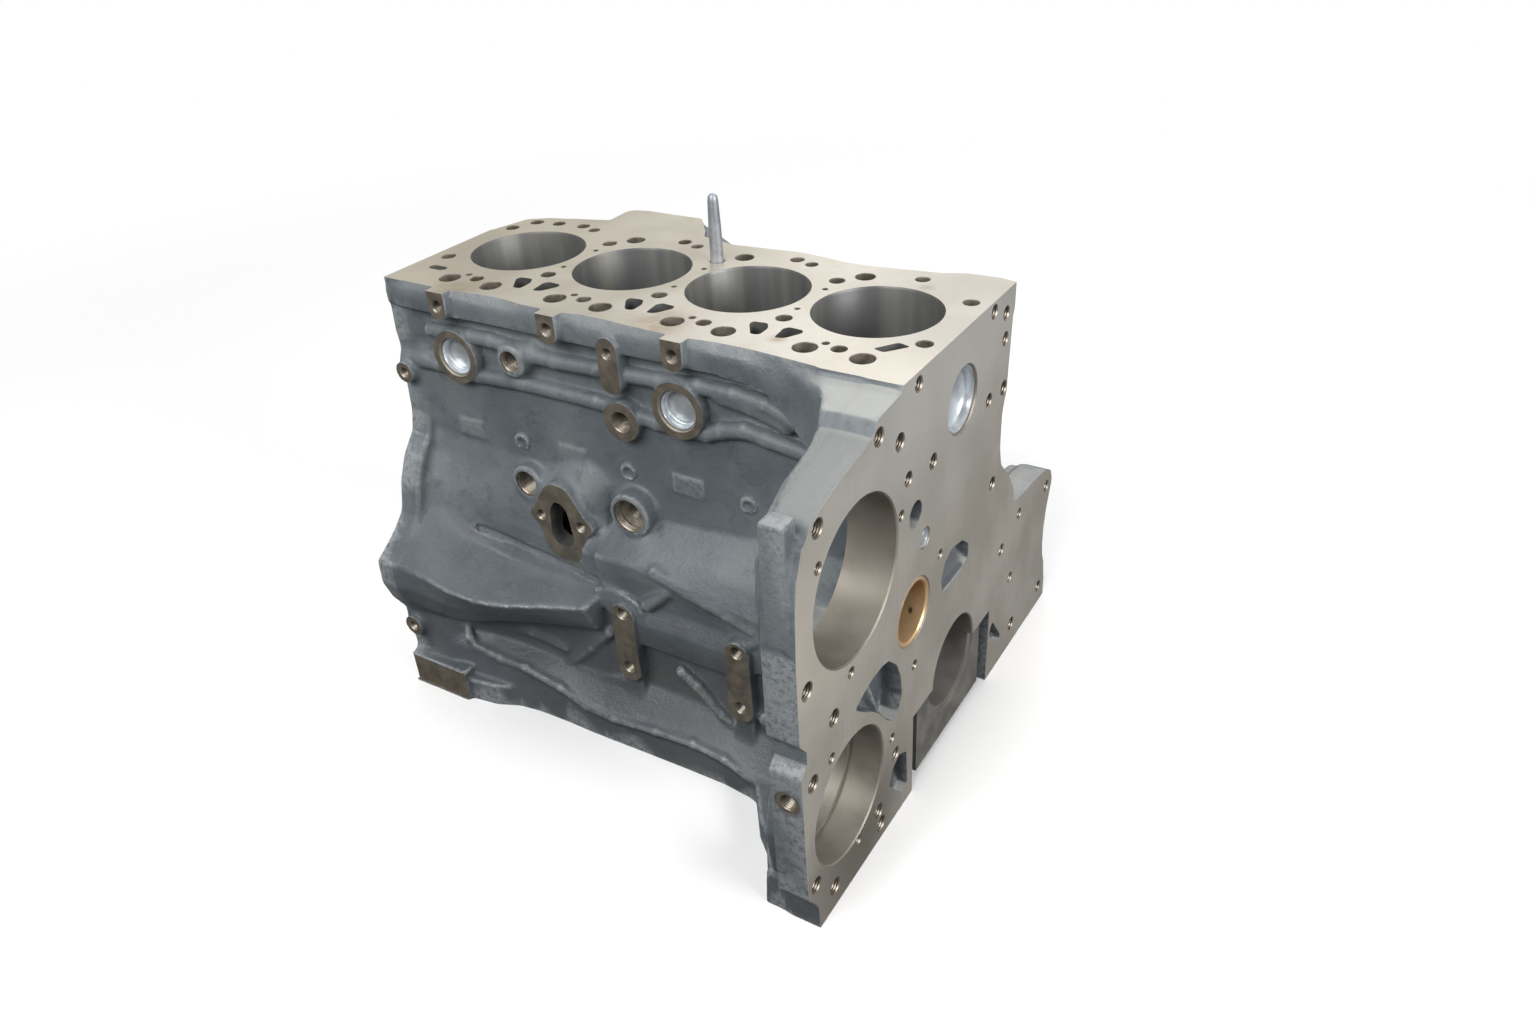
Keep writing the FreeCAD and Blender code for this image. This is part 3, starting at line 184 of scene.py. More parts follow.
def block_of(low, high, k, r=4, carve=False):
    """A box with rounded edges."""
    def shape(x, y, z):
        q = [np.abs(p - (low[i] + high[i]) / 2) - (high[i] - low[i]) / 2 + r for i, p in enumerate((x, y, z))]
        out = np.sqrt(sum(np.maximum(p, 0) ** 2 for p in q))
        return out + np.minimum(np.maximum(np.maximum(q[0], q[1]), q[2]), 0) - r

    blend(shape, low, high, k, carve)


def rib(points, radius, k, carve=False):
    """A round-backed rib or groove through points (x, y, z)."""
    for a, b in zip(points, points[1:]):
        low = [min(p, q) - radius for p, q in zip(a, b)]
        high = [max(p, q) + radius for p, q in zip(a, b)]
        e = [q - p for p, q in zip(a, b)]
        size = sum(p * p for p in e)

        def shape(x, y, z):
            w = [x - a[0], y - a[1], z - a[2]]
            t = np.clip((w[0] * e[0] + w[1] * e[1] + w[2] * e[2]) / size, 0, 1)
            off = [w[i] - e[i] * t for i in range(3)]
            return np.sqrt(off[0] ** 2 + off[1] ** 2 + off[2] ** 2) - radius

        blend(shape, low, high, k, carve)


def slot_outline(x, z, half_width, half_height, turns=8):
    """Outline of an upright slot with round ends."""
    points = []
    for side, start in ((1, 0), (-1, math.pi)):
        for i in range(turns + 1):
            t = start + math.pi * i / turns
            points.append((x + half_width * math.cos(t),
                           z + side * (half_height - half_width) + half_width * math.sin(t)))
    return points


# Reach of the near side from the crank axis, as (height, reach), at stations along the block
LEFT_TOP = [(326, 107), (252, 106), (236, 106)]
WALL_TOP = [(326, 100.5), (254, 100.5), (238, 103.5)]
NEAR = {
    -520: [(180, 108), (156, 121), (131, 138), (112, 145), (104, 149), (102, 150), (98, 152), (67, 190),
           (43, 191), (22, 184), (3, 172), (-18, 171), (-44, 169), (-96, 175)],
    -490: [(178, 105), (156, 114), (130, 130), (112, 134), (106, 137), (104, 138), (101, 142), (67, 190),
           (43, 191), (22, 184), (3, 172), (-18, 170), (-44, 169), (-96, 175)],
    -470: [(174, 104), (156, 110), (130, 121), (112, 128), (108, 130), (104, 133), (97, 140), (67, 190),
           (43, 189), (16, 180), (0, 168), (-20, 168), (-32, 168), (-96, 174)],
    -447: [(172, 104), (156, 109), (130, 119.5), (111, 127), (104, 130), (98, 133), (86, 141), (64, 191),
           (35, 184), (3, 168), (-8, 150), (-22, 148), (-32, 162), (-96, 171)],
    -425: [(170, 104), (154, 108.5), (128, 119), (109, 127), (98, 128), (94, 127), (78, 136), (59, 191),
           (35, 182), (7, 166), (-2, 144), (-24, 142), (-36, 161), (-96, 169)],
    -395: [(168, 104), (152, 108.5), (127, 119), (107, 127.5), (91, 127), (88, 125), (69, 133), (58.5, 191),
           (38, 179), (17, 163), (6, 140), (-25, 139), (-37, 160), (-96, 165)],
    -365: [(166, 104), (151, 109), (126, 119), (106, 127.5), (87, 127), (84, 125), (67.5, 133), (62, 189),
           (42, 175), (24, 160), (12, 138), (-26, 138), (-38, 160), (-96, 160)],
    -330: [(166, 104), (150, 109), (126, 119.5), (108, 130.5), (83, 128.5), (80, 126.5), (67, 133), (66, 178),
           (46, 166), (29, 154), (22, 138), (-27, 138), (-46, 160), (-96, 159)],
    -286: [(165, 104), (149, 107), (127, 119), (111, 137), (81, 133), (77, 129), (66.5, 134), (66, 159),
           (48, 153), (34, 147), (28, 138), (-26, 138), (-57, 160), (-96, 159)],
    -283: [(134, 104), (127, 115), (119, 128), (112, 140), (97, 139), (84, 138), (78, 137), (70, 136),
           (52, 135), (34, 135), (26, 135), (-24, 137), (-57, 160), (-96, 159)],
    -240: [(142, 104), (132, 117), (123, 129), (114, 140), (98, 138), (86, 135), (76, 134), (66, 133),
           (48, 132), (30, 130), (20, 130), (-22, 132), (-54, 159), (-96, 158)],
    -190: [(146, 104), (133, 117), (120, 129), (107, 140), (94, 138), (82, 134), (74, 133), (64, 132),
           (46, 131), (30, 130), (16, 130), (-24, 132), (-50, 159), (-96, 157)],
    -150: [(150, 104), (134, 117), (119, 129), (102, 140), (90, 138), (78, 134), (70, 133), (60, 132),
           (44, 132), (30, 131), (14, 131), (-28, 133), (-53, 159), (-96, 157)],
    -110: [(154, 104), (134, 117), (115, 129), (95, 140), (84, 138), (74, 135), (66, 134), (56, 133),
           (44, 132), (30, 132), (12, 132), (-32, 134), (-67, 161), (-96, 162)],
    -60: [(158, 105), (136, 118), (114, 129), (92, 140), (82, 138), (72, 135), (64, 134), (54, 133),
          (44, 132), (30, 132), (12, 132), (-32, 136), (-72, 163), (-96, 165)],
}
NEAR[20] = [(160, 107), (137, 118)] + NEAR[-60][2:]
FAR = [(326, 84), (178, 86), (156, 92), (136, 112), (112, 130), (96, 134), (-20, 134), (-44, 136), (-58, 150),
       (-96, 152)]


def reach_field():
    """Near and far reach over length and height, smoothed as a casting would be."""
    x_all, z_all = AXES[0], AXES[2]
    stations = sorted(NEAR)
    lines = [(LEFT_TOP if s < -480 else WALL_TOP) + NEAR[s] for s in stations]
    heights = np.array([[point[0] for point in line] for line in lines])
    reaches = np.array([[point[1] for point in line] for line in lines])
    near = np.zeros((COUNT[0], COUNT[2]), np.float32)
    for n, x in enumerate(x_all):
        h = [np.interp(x, stations, row) for row in heights.T]
        r = [np.interp(x, stations, row) for row in reaches.T]
        near[n] = np.interp(z_all, h[::-1], r[::-1])
    near = blurred(blurred(near, 1, [0]), 1, [1])
    far = np.interp(z_all, [p[0] for p in FAR][::-1], [p[1] for p in FAR][::-1])[None, :].astype(np.float32)
    far = blurred(np.repeat(far, COUNT[0], 0), 3, [1])
    return near, far


def steepness(values):
    gx, gz = np.gradient(values, STEP)
    return np.sqrt(1 + gx * gx + gz * gz)


near, far = reach_field()
y_all = AXES[1][None, :, None]
field = (-y_all - near[:, None, :]) / steepness(near)[:, None, :]
field = smooth_max(field, (y_all - far[:, None, :]) / steepness(far)[:, None, :], 4)
field = np.maximum(field, np.abs(AXES[2][None, None, :] - 117) - 211)
field = np.maximum(field, np.abs(AXES[0][:, None, None] + 256) - 261).astype(np.float32)

# Head-face band: its near edge waves in and out, with a sloping shoulder down to an upright face
WAVE = [(-520, 90), (-512, 98), (-508.5, 103), (-504, 106.5), (-498, 107.5), (-455, 108), (-430, 108),
        (-420, 107), (-400, 104.5), (-372, 104.5), (-352, 107.5), (-330, 108), (-306, 107.5), (-290, 104.5),
        (-265, 104.5), (-240, 107), (-204, 108), (-182, 107.5), (-172, 106.5), (-160, 105), (-128, 105),
        (-100, 107.5), (-84, 109), (-66, 111), (-20, 110.5), (10, 110.3)]
SIDE = [(-520, 107), (-498, 112), (-430, 112.5), (-400, 110.5), (-372, 110.5), (-330, 112), (-290, 110.5),
        (-240, 112), (-182, 112), (-160, 111), (-134, 111.5), (-121, 112.5), (-109, 114), (-96, 117),
        (-84, 121), (-69, 126), (-50, 134), (10, 150)]
SIDE_TOP = [(-520, 314), (-134, 314), (-121, 309.5), (-109, 302.5), (-96, 296), (-84, 289), (-69, 282),
            (-50, 276), (10, 262)]
SIDE_LOW = [(-520, 299), (-156, 298), (-129, 295.5), (-112, 292), (-99, 284), (-89, 279), (-71, 272),
            (-50, 264), (10, 250)]


def at(table, x):
    return np.interp(x, [p[0] for p in table], [p[1] for p in table]).astype(np.float32)


def band(x, y, z):
    line = x.ravel()
    top = blurred(at(WAVE, line), 1, [0])[:, None, None]
    side = blurred(at(SIDE, line), 2, [0])[:, None, None]
    shoulder = at(SIDE_TOP, line)[:, None, None]
    low = at(SIDE_LOW, line)[:, None, None]
    slope = (side - top) / np.maximum(DECK - shoulder, 1)
    lean = np.sqrt(1 + slope * slope)
    d = smooth_max(-y - side, (-y - top - (DECK - z) * slope) / lean, 2.5)
    d = smooth_max(d, low - z, 1.5)
    return np.maximum(d, np.maximum(z - 328, y - 20))


blend(band, (-518, -214, 236), (6, 20, 328), 1.2)
for x in NOTCH_X:
    prism("y", slot_outline(x, 324, 10, 27), -119.5, -90, 1.5, 1.5, 0)

# Shelf under the head face at the gear end, with a steep curved side
SHELF = [(6, -60), (6, -153), (-32, -153), (-40, -147), (-52, -137), (-66, -127), (-84, -116), (-104, -107),
         (-104, -60)]


def head_shelf(x, y, z):
    flat = blurred(outline_distance(x, y, SHELF), 1, [0, 1])
    flat = flat - np.clip(312 - z, 0, 60) * 0.2
    top = (z - 316.7 - (y + 120) * 0.085) / 1.004
    foot = at(SIDE_LOW, x.ravel())[:, None, None]
    return smooth_max(smooth_max(flat, top, 9), foot - z, 2)


blend(head_shelf, (-118, -170, 236), (6, -60, 318), 2)

# Water and oil ribs of the upper wall
UPPER_RIB = [(-468, 279), (-420, 281), (-395, 281), (-350, 276), (-325, 275), (-279, 277), (-217, 279),
             (-178, 282), (-145, 282), (-118, 279), (-92, 270), (-70, 262)]
LOWER_RIB = [(-505, 246), (-466, 245), (-419, 243), (-365, 246), (-284, 246), (-240, 242), (-223, 240),
             (-174, 241), (-160, 247), (-138, 252), (-118, 249), (-79, 244), (-40, 243)]
rib([(x, -104, z) for x, z in UPPER_RIB], 7, 2)
rib([(x, -104, z) for x, z in LOWER_RIB], 7, 2)
rib([(-160, -103.5, 277), (-130, -103.5, 274), (-100, -103, 264)], 7, 2.5)

# Bosses of the upper wall: x, z, radius, reach, fillet
BOSSES = [(-197, 260, 25, 115, 2), (-437, 261, 25, 115, 2), (-370, 269.5, 15, 114, 3),
          (-256, 237, 18, 114.5, 3), (-372.5, 150, 17, 117, 5), (-254, 150, 20.5, 121, 5)]
for x, z, radius, reach, k in BOSSES:
    disc("y", (x, z), radius, -reach, -85, k, 2)
rib([(-370, -98, 269), (-352, -97, 277)], 13, 4)
rib([(-370, -98, 269), (-378, -97, 255)], 13, 4)
prism("y", slot_outline(-259, 288, 10.5, 25), -117.5, -90, 2.5, 2, 0)

# Shallow core marks without text
for x in (-442, -322, -199):
    block_of((x - 16, -105.6, 176), (x + 16, -90, 195), 2, 1)
for x, z in ((-381, 186), (-261, 185), (-140, 184)):
    disc("y", (x, z), 8, -107.2, -92, 1, 1)
    disc("y", (x + 1, z - 1.5), 5.4, -109, -104.2, 1, 1, carve=True)

# Neck of the lift pump opening and its mound
rib([(-338, -98, 140), (-312, -98, 146)], 27, 12)
rib([(-322, -96, 155), (-306, -93, 160)], 22, 9)
PUMP_FACE = [(-36, 129), (-34, 125), (-27, 120), (-19, 98), (-15, 93), (-8, 90.5), (8, 90.5), (15, 93),
             (19, 98), (27, 120), (34, 125), (36, 129), (34, 135), (28, 140), (17, 158), (11, 165),
             (3, 167.5), (-3, 167.5), (-11, 165), (-17, 158), (-28, 140), (-34, 135)]
prism("y", [(PUMP_X + x, z) for x, z in PUMP_FACE], -131.5, -95, 4, 2, 0)

# Lower wall: pads, posts, bands and diagonal ribs
for x in PAD_X:
    prism("y", slot_outline(x, 28, 12.5, 43), -146.5, -118, 4, 2.5, 0)
    prism("y", [(x - 11, -4), (x + 11, -4), (x + 9, -46), (x - 9, -46)], -141, -118, 5, 3)
BEAM = [(-118, 22), (-137, 25), (-140.5, 29), (-141, 53), (-133, 66.5), (-118, 67)]
prism("x", BEAM, -250, -138, 2.5, 1, 0)
prism("y", [(-290, 74), (-274, 82), (-258, 79), (-243, 74), (-236, 66), (-236, 50), (-272, 50), (-290, 60)],
      -140, -120, 3, 2.5, 1)
prism("y", [(-136, 64), (-110, 80), (-96, 80), (-96, 40), (-136, 36)], -138, -120, 3, 3, 1)
RIBS = [[(-282, 26), (-304, 1), (-338, -33)],
        [(-232, 73), (-208, 96)],
        [(-437, -14), (-414, -13), (-379, -8), (-338, -12)],
        [(-345, -36), (-321, -32), (-294, -31), (-260, -26)],
        [(-138, 62), (-104, 84)],
        [(-220, 111), (-187, 101), (-168, 97), (-146, 91), (-122, 83)],
        [(-84, -44), (-118, -10)]]
for points in RIBS:
    rib([(x, -134, z) for x, z in points], 7, 2.5)
for points in ([(-204, 8), (-188, -2), (-163, -25), (-144, -39), (-130, -47)], [(-130, -45), (-158, -66)]):
    rib([(x, -134, z) for x, z in points], 5.5, 2)
RIDGE = [(-448, -24), (-440, -33), (-409, -37), (-376, -37), (-334, -45), (-305, -56), (-271, -58),
         (-223, -53), (-181, -50), (-148, -54), (-122, -65)]
rib([(-456, -150, -10)] + [(x, -157.8, z) for x, z in RIDGE], 4, 3)
GROOVE = [(-434, -129, 92), (-410, -127.5, 89), (-362, -127, 83), (-311, -128, 78.5), (-292, -130, 76.5)]
rib(GROOVE, 3.2, 1, carve=True)
block_of((-330, -134.5, -24), (-286, -100, 26), 5, 4)

# Low rear corner pad and the two rear lugs
block_of((-516, -182, -98), (-441, -150, -52), 3, 2.5)
disc("y", (-502.5, 235.5), 10, -119.5, -80, 3, 1.5)
rib([(-512, -98, 240), (-486, -96, 250)], 12, 8)
disc("y", (-500, -14), 10.5, -181.5, -120, 3, 1.5)

# Sump rail all round
RAIL_NEAR = [(6, 247.5), (-28, 247.5), (-53, 243), (-74, 210), (-90, 196), (-114, 163), (-124, 158),
             (-157, 155), (-250, 156), (-309, 158), (-326, 155), (-385, 157), (-396, 166),
             (-411, 172.5), (-452, 178.5), (-518, 179)]
RAIL_FAR = [(-518, 172), (-450, 170), (-420, 158), (-400, 152), (-120, 152), (-90, 190),
            (-56, 240), (-28, 247), (6, 247.5)]
ring = [(x, -y) for x, y in RAIL_NEAR] + RAIL_FAR
prism("z", ring, -98, -62, 4, 3, 1)

# Gear-end flange
FLANGE = [(-110.5, 332), (-112, 318), (-120, 316.5), (-151.5, 314), (-160.5, 304.5), (-208.7, 295.6),
          (-230.7, 290), (-246, 283), (-258, 273), (-265.8, 253.5), (-269, 231.6), (-271, 190), (-271, 120),
          (-262, 108), (-262, 96), (-271, 88), (-270, 46), (-268.5, -38), (-253, -60), (-249.5, -98),
          (248.6, -98), (247, -61), (243, -41), (236, -27), (232.4, -11), (232.4, 12), (235.5, 30), (240, 43),
          (245, 57), (245, 64), (239, 75), (224, 83), (211, 85), (184, 89), (158, 90.5), (137, 94),
          (121.5, 102), (108, 113.6), (98, 126.5), (94, 137), (88, 148.4), (84.5, 157), (84, 166),
          (84.5, 189), (85.5, 209), (94, 228), (95, 247), (98, 290), (99, 332)]
prism("x", FLANGE, -28, 5, 5, 2, 0)
FAR_FOOT = [(108, -98), (246, -98), (243, -61), (231, -20), (230, 15), (238, 50), (238, 66), (224, 80),
            (184, 86.5), (140, 91.5), (122, 99), (104, 112)]
prism("x", FAR_FOOT, -40, -10, 3, 5, 1)
CORE = [(-60, 310), (-111, 308), (-162, 300), (-210, 288), (-236, 274), (-250, 255), (-255, 203), (-250, 150),
        (-236, 125), (-200, 118), (-190, 90), (-205, 76), (-245, 62), (-262, 10), (-255, -40), (-225, -70),
        (-160, -74), (-60, -74)]
prism("x", CORE, -42, -10, 5, 4, 2)

RIM_DEPTH = [(-272, 22), (-260, 24), (-240, 30), (-209, 35), (-178, 38), (-157, 43), (-140, 50), (-120, 62),
             (-100, 74)]


def flange_rim(x, y, z):
    """Deep sloping top of the flange, thicker toward the block."""
    flat = outline_distance(y, z, FLANGE)
    rim = np.maximum(np.abs(flat + 13) - 13, np.maximum(236 - z, y + 96))
    back = -x - at(RIM_DEPTH, y.ravel())[None, :, None] - np.clip(296 - z, 0, 60) * 0.1
    return smooth_max(smooth_max(rim, back, 2.5), x + 6, 1)


blend(flange_rim, (-80, -272, 236), (0, -96, 326), 3)
prism("y", [(-5, 200), (-5, 296), (-24, 296), (-24, 200)], -271.5, -254, 2, 2)
prism("y", [(4, -98), (-53, -98), (-50, -50), (4, -46)], -251, -190, 6, 4)
NEAR_WEB = [(-20, -110), (-20, -236), (-38, -236), (-52, -190), (-96, -134), (-96, -110)]
FAR_WEB = [(-20, 120), (-20, 232), (-34, 232), (-46, 190), (-84, 132), (-84, 120)]
for z in (24, 116):
    prism("z", NEAR_WEB, z - 5, z + 5, 6, 3)
for z in (20, -58):
    prism("z", FAR_WEB, z - 5, z + 5, 6, 3)

# Rear flange: a proud rim round a shallow recess
REAR = [(-106, 330), (-104, 300), (-107, 272), (-104, 256), (-109, 222), (-111, 192), (-116, 173),
        (-132, 154), (-143, 131), (-150, 102), (-167, 77), (-190, 67), (-191, 43), (-184, 22), (-173, 3),
        (-173, -20), (-170, -44), (-178, -60), (-179, -98), (172, -98), (176, -50), (186, 10), (180, 60),
        (160, 96), (136, 130), (110, 170), (94, 200), (88, 240), (86, 330)]
prism("x", REAR, -518, -490, 6, 4, 1)

# Far side: bracket under the wide head face, ribs, gallery and plug bosses
FAR_EDGE = [(-518, 24), (-511, 30), (-500, 70), (-480, 83), (-455, 91), (-436, 96), (-419, 101), (-420, 130),
            (-415, 137), (-400, 140), (-336, 140), (-312, 110), (-304, 96), (-266, 87.5),
            (-240, 90), (-200, 94), (-172, 91), (-152, 87), (-128, 87), (-100, 91),
            (-64, 96), (-44, 104), (-16, 105), (6, 100), (6, 0), (-518, 0)]
prism("z", FAR_EDGE, 297, 329, 4, 5, 1)
prism("z", [(-416, 70), (-416, 134), (-342, 134), (-316, 84), (-316, 70)], 253, 306, 6, 4, 1)
prism("y", [(-350, 320), (-324, 320), (-297, 306), (-289, 284), (-300, 256), (-350, 256)], 84, 133, 4, 4, 1)
for x in WALLS[1:4]:
    prism("x", [(70, 250), (88, 240), (108, 180), (128, 120), (134, 40), (70, 40)], x - 6, x + 6, 6, 3)
for centre in FAR_PLUGS:
    disc("y", centre, 25, 70, 95.5, 5, 2)
rib([(-505, 88, 199), (-30, 88, 199)], 12, 7)
rib([(-500, 134, 20), (-30, 134, 20)], 7, 7)
# Rear far corner, lower than the head face
prism("z", [(-530, 27), (-511, 31), (-500, 71), (-480, 84), (-455, 92), (-455, 125), (-530, 125)], 261, 340,
      2.5, 3, 1, carve=True)

# Cast pockets of the gear-end face, with sloping floors
BEAN = [(-190, 90), (-181, 93.5), (-163, 98.5), (-145, 99), (-133, 96), (-119, 82), (-111, 65), (-108, 44),
        (-115, 31), (-125, 28), (-136, 37), (-148, 53), (-160, 65), (-176, 77)]
TRIANGLE = [(-131, -40), (-124, -26), (-112, -20), (-98, -28), (-95, -66), (-106, -71)]
OBLONG = [(-35, 110), (-28, 124), (-14, 130), (9, 125), (23, 113), (23, 100), (8, 94), (-15, 94), (-31, 95)]
CORNER = [(87, -31), (96, -21), (120, -53), (118, -58), (108, -56)]


def pocket(points, floor):
    """A cast pocket; floor gives its depth over (y, z)."""
    ys, zs = [p[0] for p in points], [p[1] for p in points]

    def shape(x, y, z):
        flat = blurred(outline_distance(y, z, points), 1, [1, 2])
        deep = -x - floor(y, z) - flat * 0.12
        return smooth_max(flat, deep, 5)

    blend(shape, (-50, min(ys), min(zs)), (8, max(ys), max(zs)), 1.5, carve=True)


def bean_floor(y, z):
    ridge = np.exp(-((y + z * 0.55 + 111) / 5) ** 2) * 8
    return 15 + 5 * np.clip((y + 150) / 40, -1, 1) - ridge


pocket(BEAN, bean_floor)
pocket(TRIANGLE, lambda y, z: np.clip(20 + (z + 45) * 0.4, 9, 24) + 0 * y)
pocket(OBLONG, lambda y, z: np.clip(24 - (114 - z) * 1.3, 3, 26) + 0 * y)
pocket(CORNER, lambda y, z: np.clip(16 + (z + 45) * 0.7, 4, 22) + 0 * y)

# Crank chambers between the bearing walls
for k in range(4):
    block_of((WALLS[k + 1] + 14, -122, -130), (WALLS[k] - 14, 122, 46), 3, 16, carve=True)
    block_of((WALLS[k + 1] + 14, -108, -90), (WALLS[k] - 14, 106, 108), 3, 16, carve=True)


def casting_mesh():
    """The casting's skin as a closed mesh."""
    grid = openvdb.FloatGrid(3 * STEP)
    grid.copyFromArray(np.clip(field, -3 * STEP, 3 * STEP))
    points, triangles, quads = grid.convertToPolygons(0.0, 0.0)
    mesh = bpy.data.meshes.new("casting_skin")
    places = (points * STEP + np.array(LOW)) * MM
    corners = np.concatenate([quads.ravel(), triangles.ravel()]).astype(np.int32)
    starts = np.concatenate([np.arange(len(quads)) * 4, len(quads) * 4 + np.arange(len(triangles)) * 3])
    mesh.vertices.add(len(places))
    mesh.vertices.foreach_set("co", places.astype(np.float32).ravel())
    mesh.loops.add(len(corners))
    mesh.loops.foreach_set("vertex_index", corners)
    mesh.polygons.add(len(starts))
    mesh.polygons.foreach_set("loop_start", starts.astype(np.int32))
    mesh.update(calc_edges=True)
    mesh.validate()
    return mesh


def new_object(name, mesh):
    obj = bpy.data.objects.new(name, mesh)
    bpy.context.scene.collection.objects.link(obj)
    return obj


def baked(obj):
    """The object's mesh with its modifiers worked in."""
    graph = bpy.context.evaluated_depsgraph_get()
    mesh = bpy.data.meshes.new_from_object(obj.evaluated_get(graph))
    old = obj.data
    obj.modifiers.clear()
    obj.data = mesh
    bpy.data.meshes.remove(old)


# Surfaces

def srgb(r, g, b):
    """Linear colour from eight-bit screen values."""
    out = []
    for c in (r, g, b):
        c /= 255.0
        out.append(c / 12.92 if c <= 0.04045 else ((c + 0.055) / 1.055) ** 2.4)
    return tuple(out) + (1.0,)


class Surface:
    """A procedural surface, built node by node in object space."""

    def __init__(self, name):
        self.material = bpy.data.materials.new(name)
        self.material.use_nodes = True
        self.tree = self.material.node_tree
        self.shader = self.tree.nodes["Principled BSDF"]
        self.place = self.add("ShaderNodeTexCoord").outputs["Object"]

    def add(self, kind, **settings):
        node = self.tree.nodes.new(kind)
        for key, value in settings.items():
            setattr(node, key, value)
        return node

    def link(self, source, target):
        self.tree.links.new(source, target)

    def feed(self, node, **values):
        """Sets or links a node's inputs by name; an underscore stands for a space."""
        for key, value in values.items():
            self.put(node.inputs[key.replace("_", " ")], value)

    def put(self, socket, value):
        if isinstance(value, bpy.types.NodeSocket):
            self.link(value, socket)
        else:
            socket.default_value = value

    def parts(self, vector):
        """The X, Y and Z of a vector."""
        node = self.add("ShaderNodeSeparateXYZ")
        self.link(vector, node.inputs[0])
        return node.outputs

    def noise(self, scale, stretch=(1, 1, 1), detail=3, rough=0.55, distort=0):
        mapping = self.add("ShaderNodeMapping")
        self.feed(mapping, Vector=self.place, Scale=stretch)
        node = self.add("ShaderNodeTexNoise")
        self.feed(node, Vector=mapping.outputs["Vector"], Scale=scale, Detail=detail, Roughness=rough,
                  Distortion=distort)
        return node.outputs["Fac"]

    def span(self, value, low, high, out_low=0, out_high=1):
        node = self.add("ShaderNodeMapRange", interpolation_type="SMOOTHSTEP")
        self.feed(node, Value=value, From_Min=low, From_Max=high, To_Min=out_low, To_Max=out_high)
        return node.outputs["Result"]

    def calc(self, kind, a, b=0.0):
        node = self.add("ShaderNodeMath", operation=kind)
        self.put(node.inputs[0], a)
        self.put(node.inputs[1], b)
        return node.outputs[0]

    def times(self, a, b):
        return self.calc("MULTIPLY", a, b)

    def blend(self, amount, a, b):
        node = self.add("ShaderNodeMix", data_type="RGBA")
        for i, value in ((0, amount), (6, a), (7, b)):
            self.put(node.inputs[i], value)
        return node.outputs[2]

    def tint(self, colour, amount, r, g, b):
        """The colour drawn toward another, given in eight-bit screen values."""
        return self.blend(amount, colour, srgb(r, g, b))

    def mottle(self, cloud, dark, light, low=0.35, high=0.65):
        return self.blend(self.span(cloud, low, high), srgb(*dark), srgb(*light))

    def vector(self, kind, a, b=(0, 0, 0)):
        node = self.add("ShaderNodeVectorMath", operation=kind)
        self.link(a, node.inputs[0])
        node.inputs[1].default_value = b
        return node.outputs

    def spot(self, centre, radius, soft, stretch=(1, 1, 1)):
        """One near a place in millimetres, nought away from it."""
        shift = self.vector("SUBTRACT", self.place, tuple(c * MM for c in centre))[0]
        scaled = self.vector("MULTIPLY", shift, stretch)[0]
        far = self.vector("LENGTH", scaled)["Value"]
        return self.span(far, (radius + soft) * MM, (radius - soft) * MM)

    def bump(self, height, strength, distance):
        node = self.add("ShaderNodeBump")
        self.feed(node, Height=height, Strength=strength, Distance=distance)
        self.link(node.outputs["Normal"], self.shader.inputs["Normal"])

    def finish(self, colour, rough, metal):
        self.feed(self.shader, Base_Color=colour, Roughness=rough, Metallic=metal)
        return self.material

    def clouded(self, colour, cloud, low, high, metal):
        """Finish whose roughness follows the cloud."""
        return self.finish(colour, self.span(cloud, 0.3, 0.7, low, high), metal)


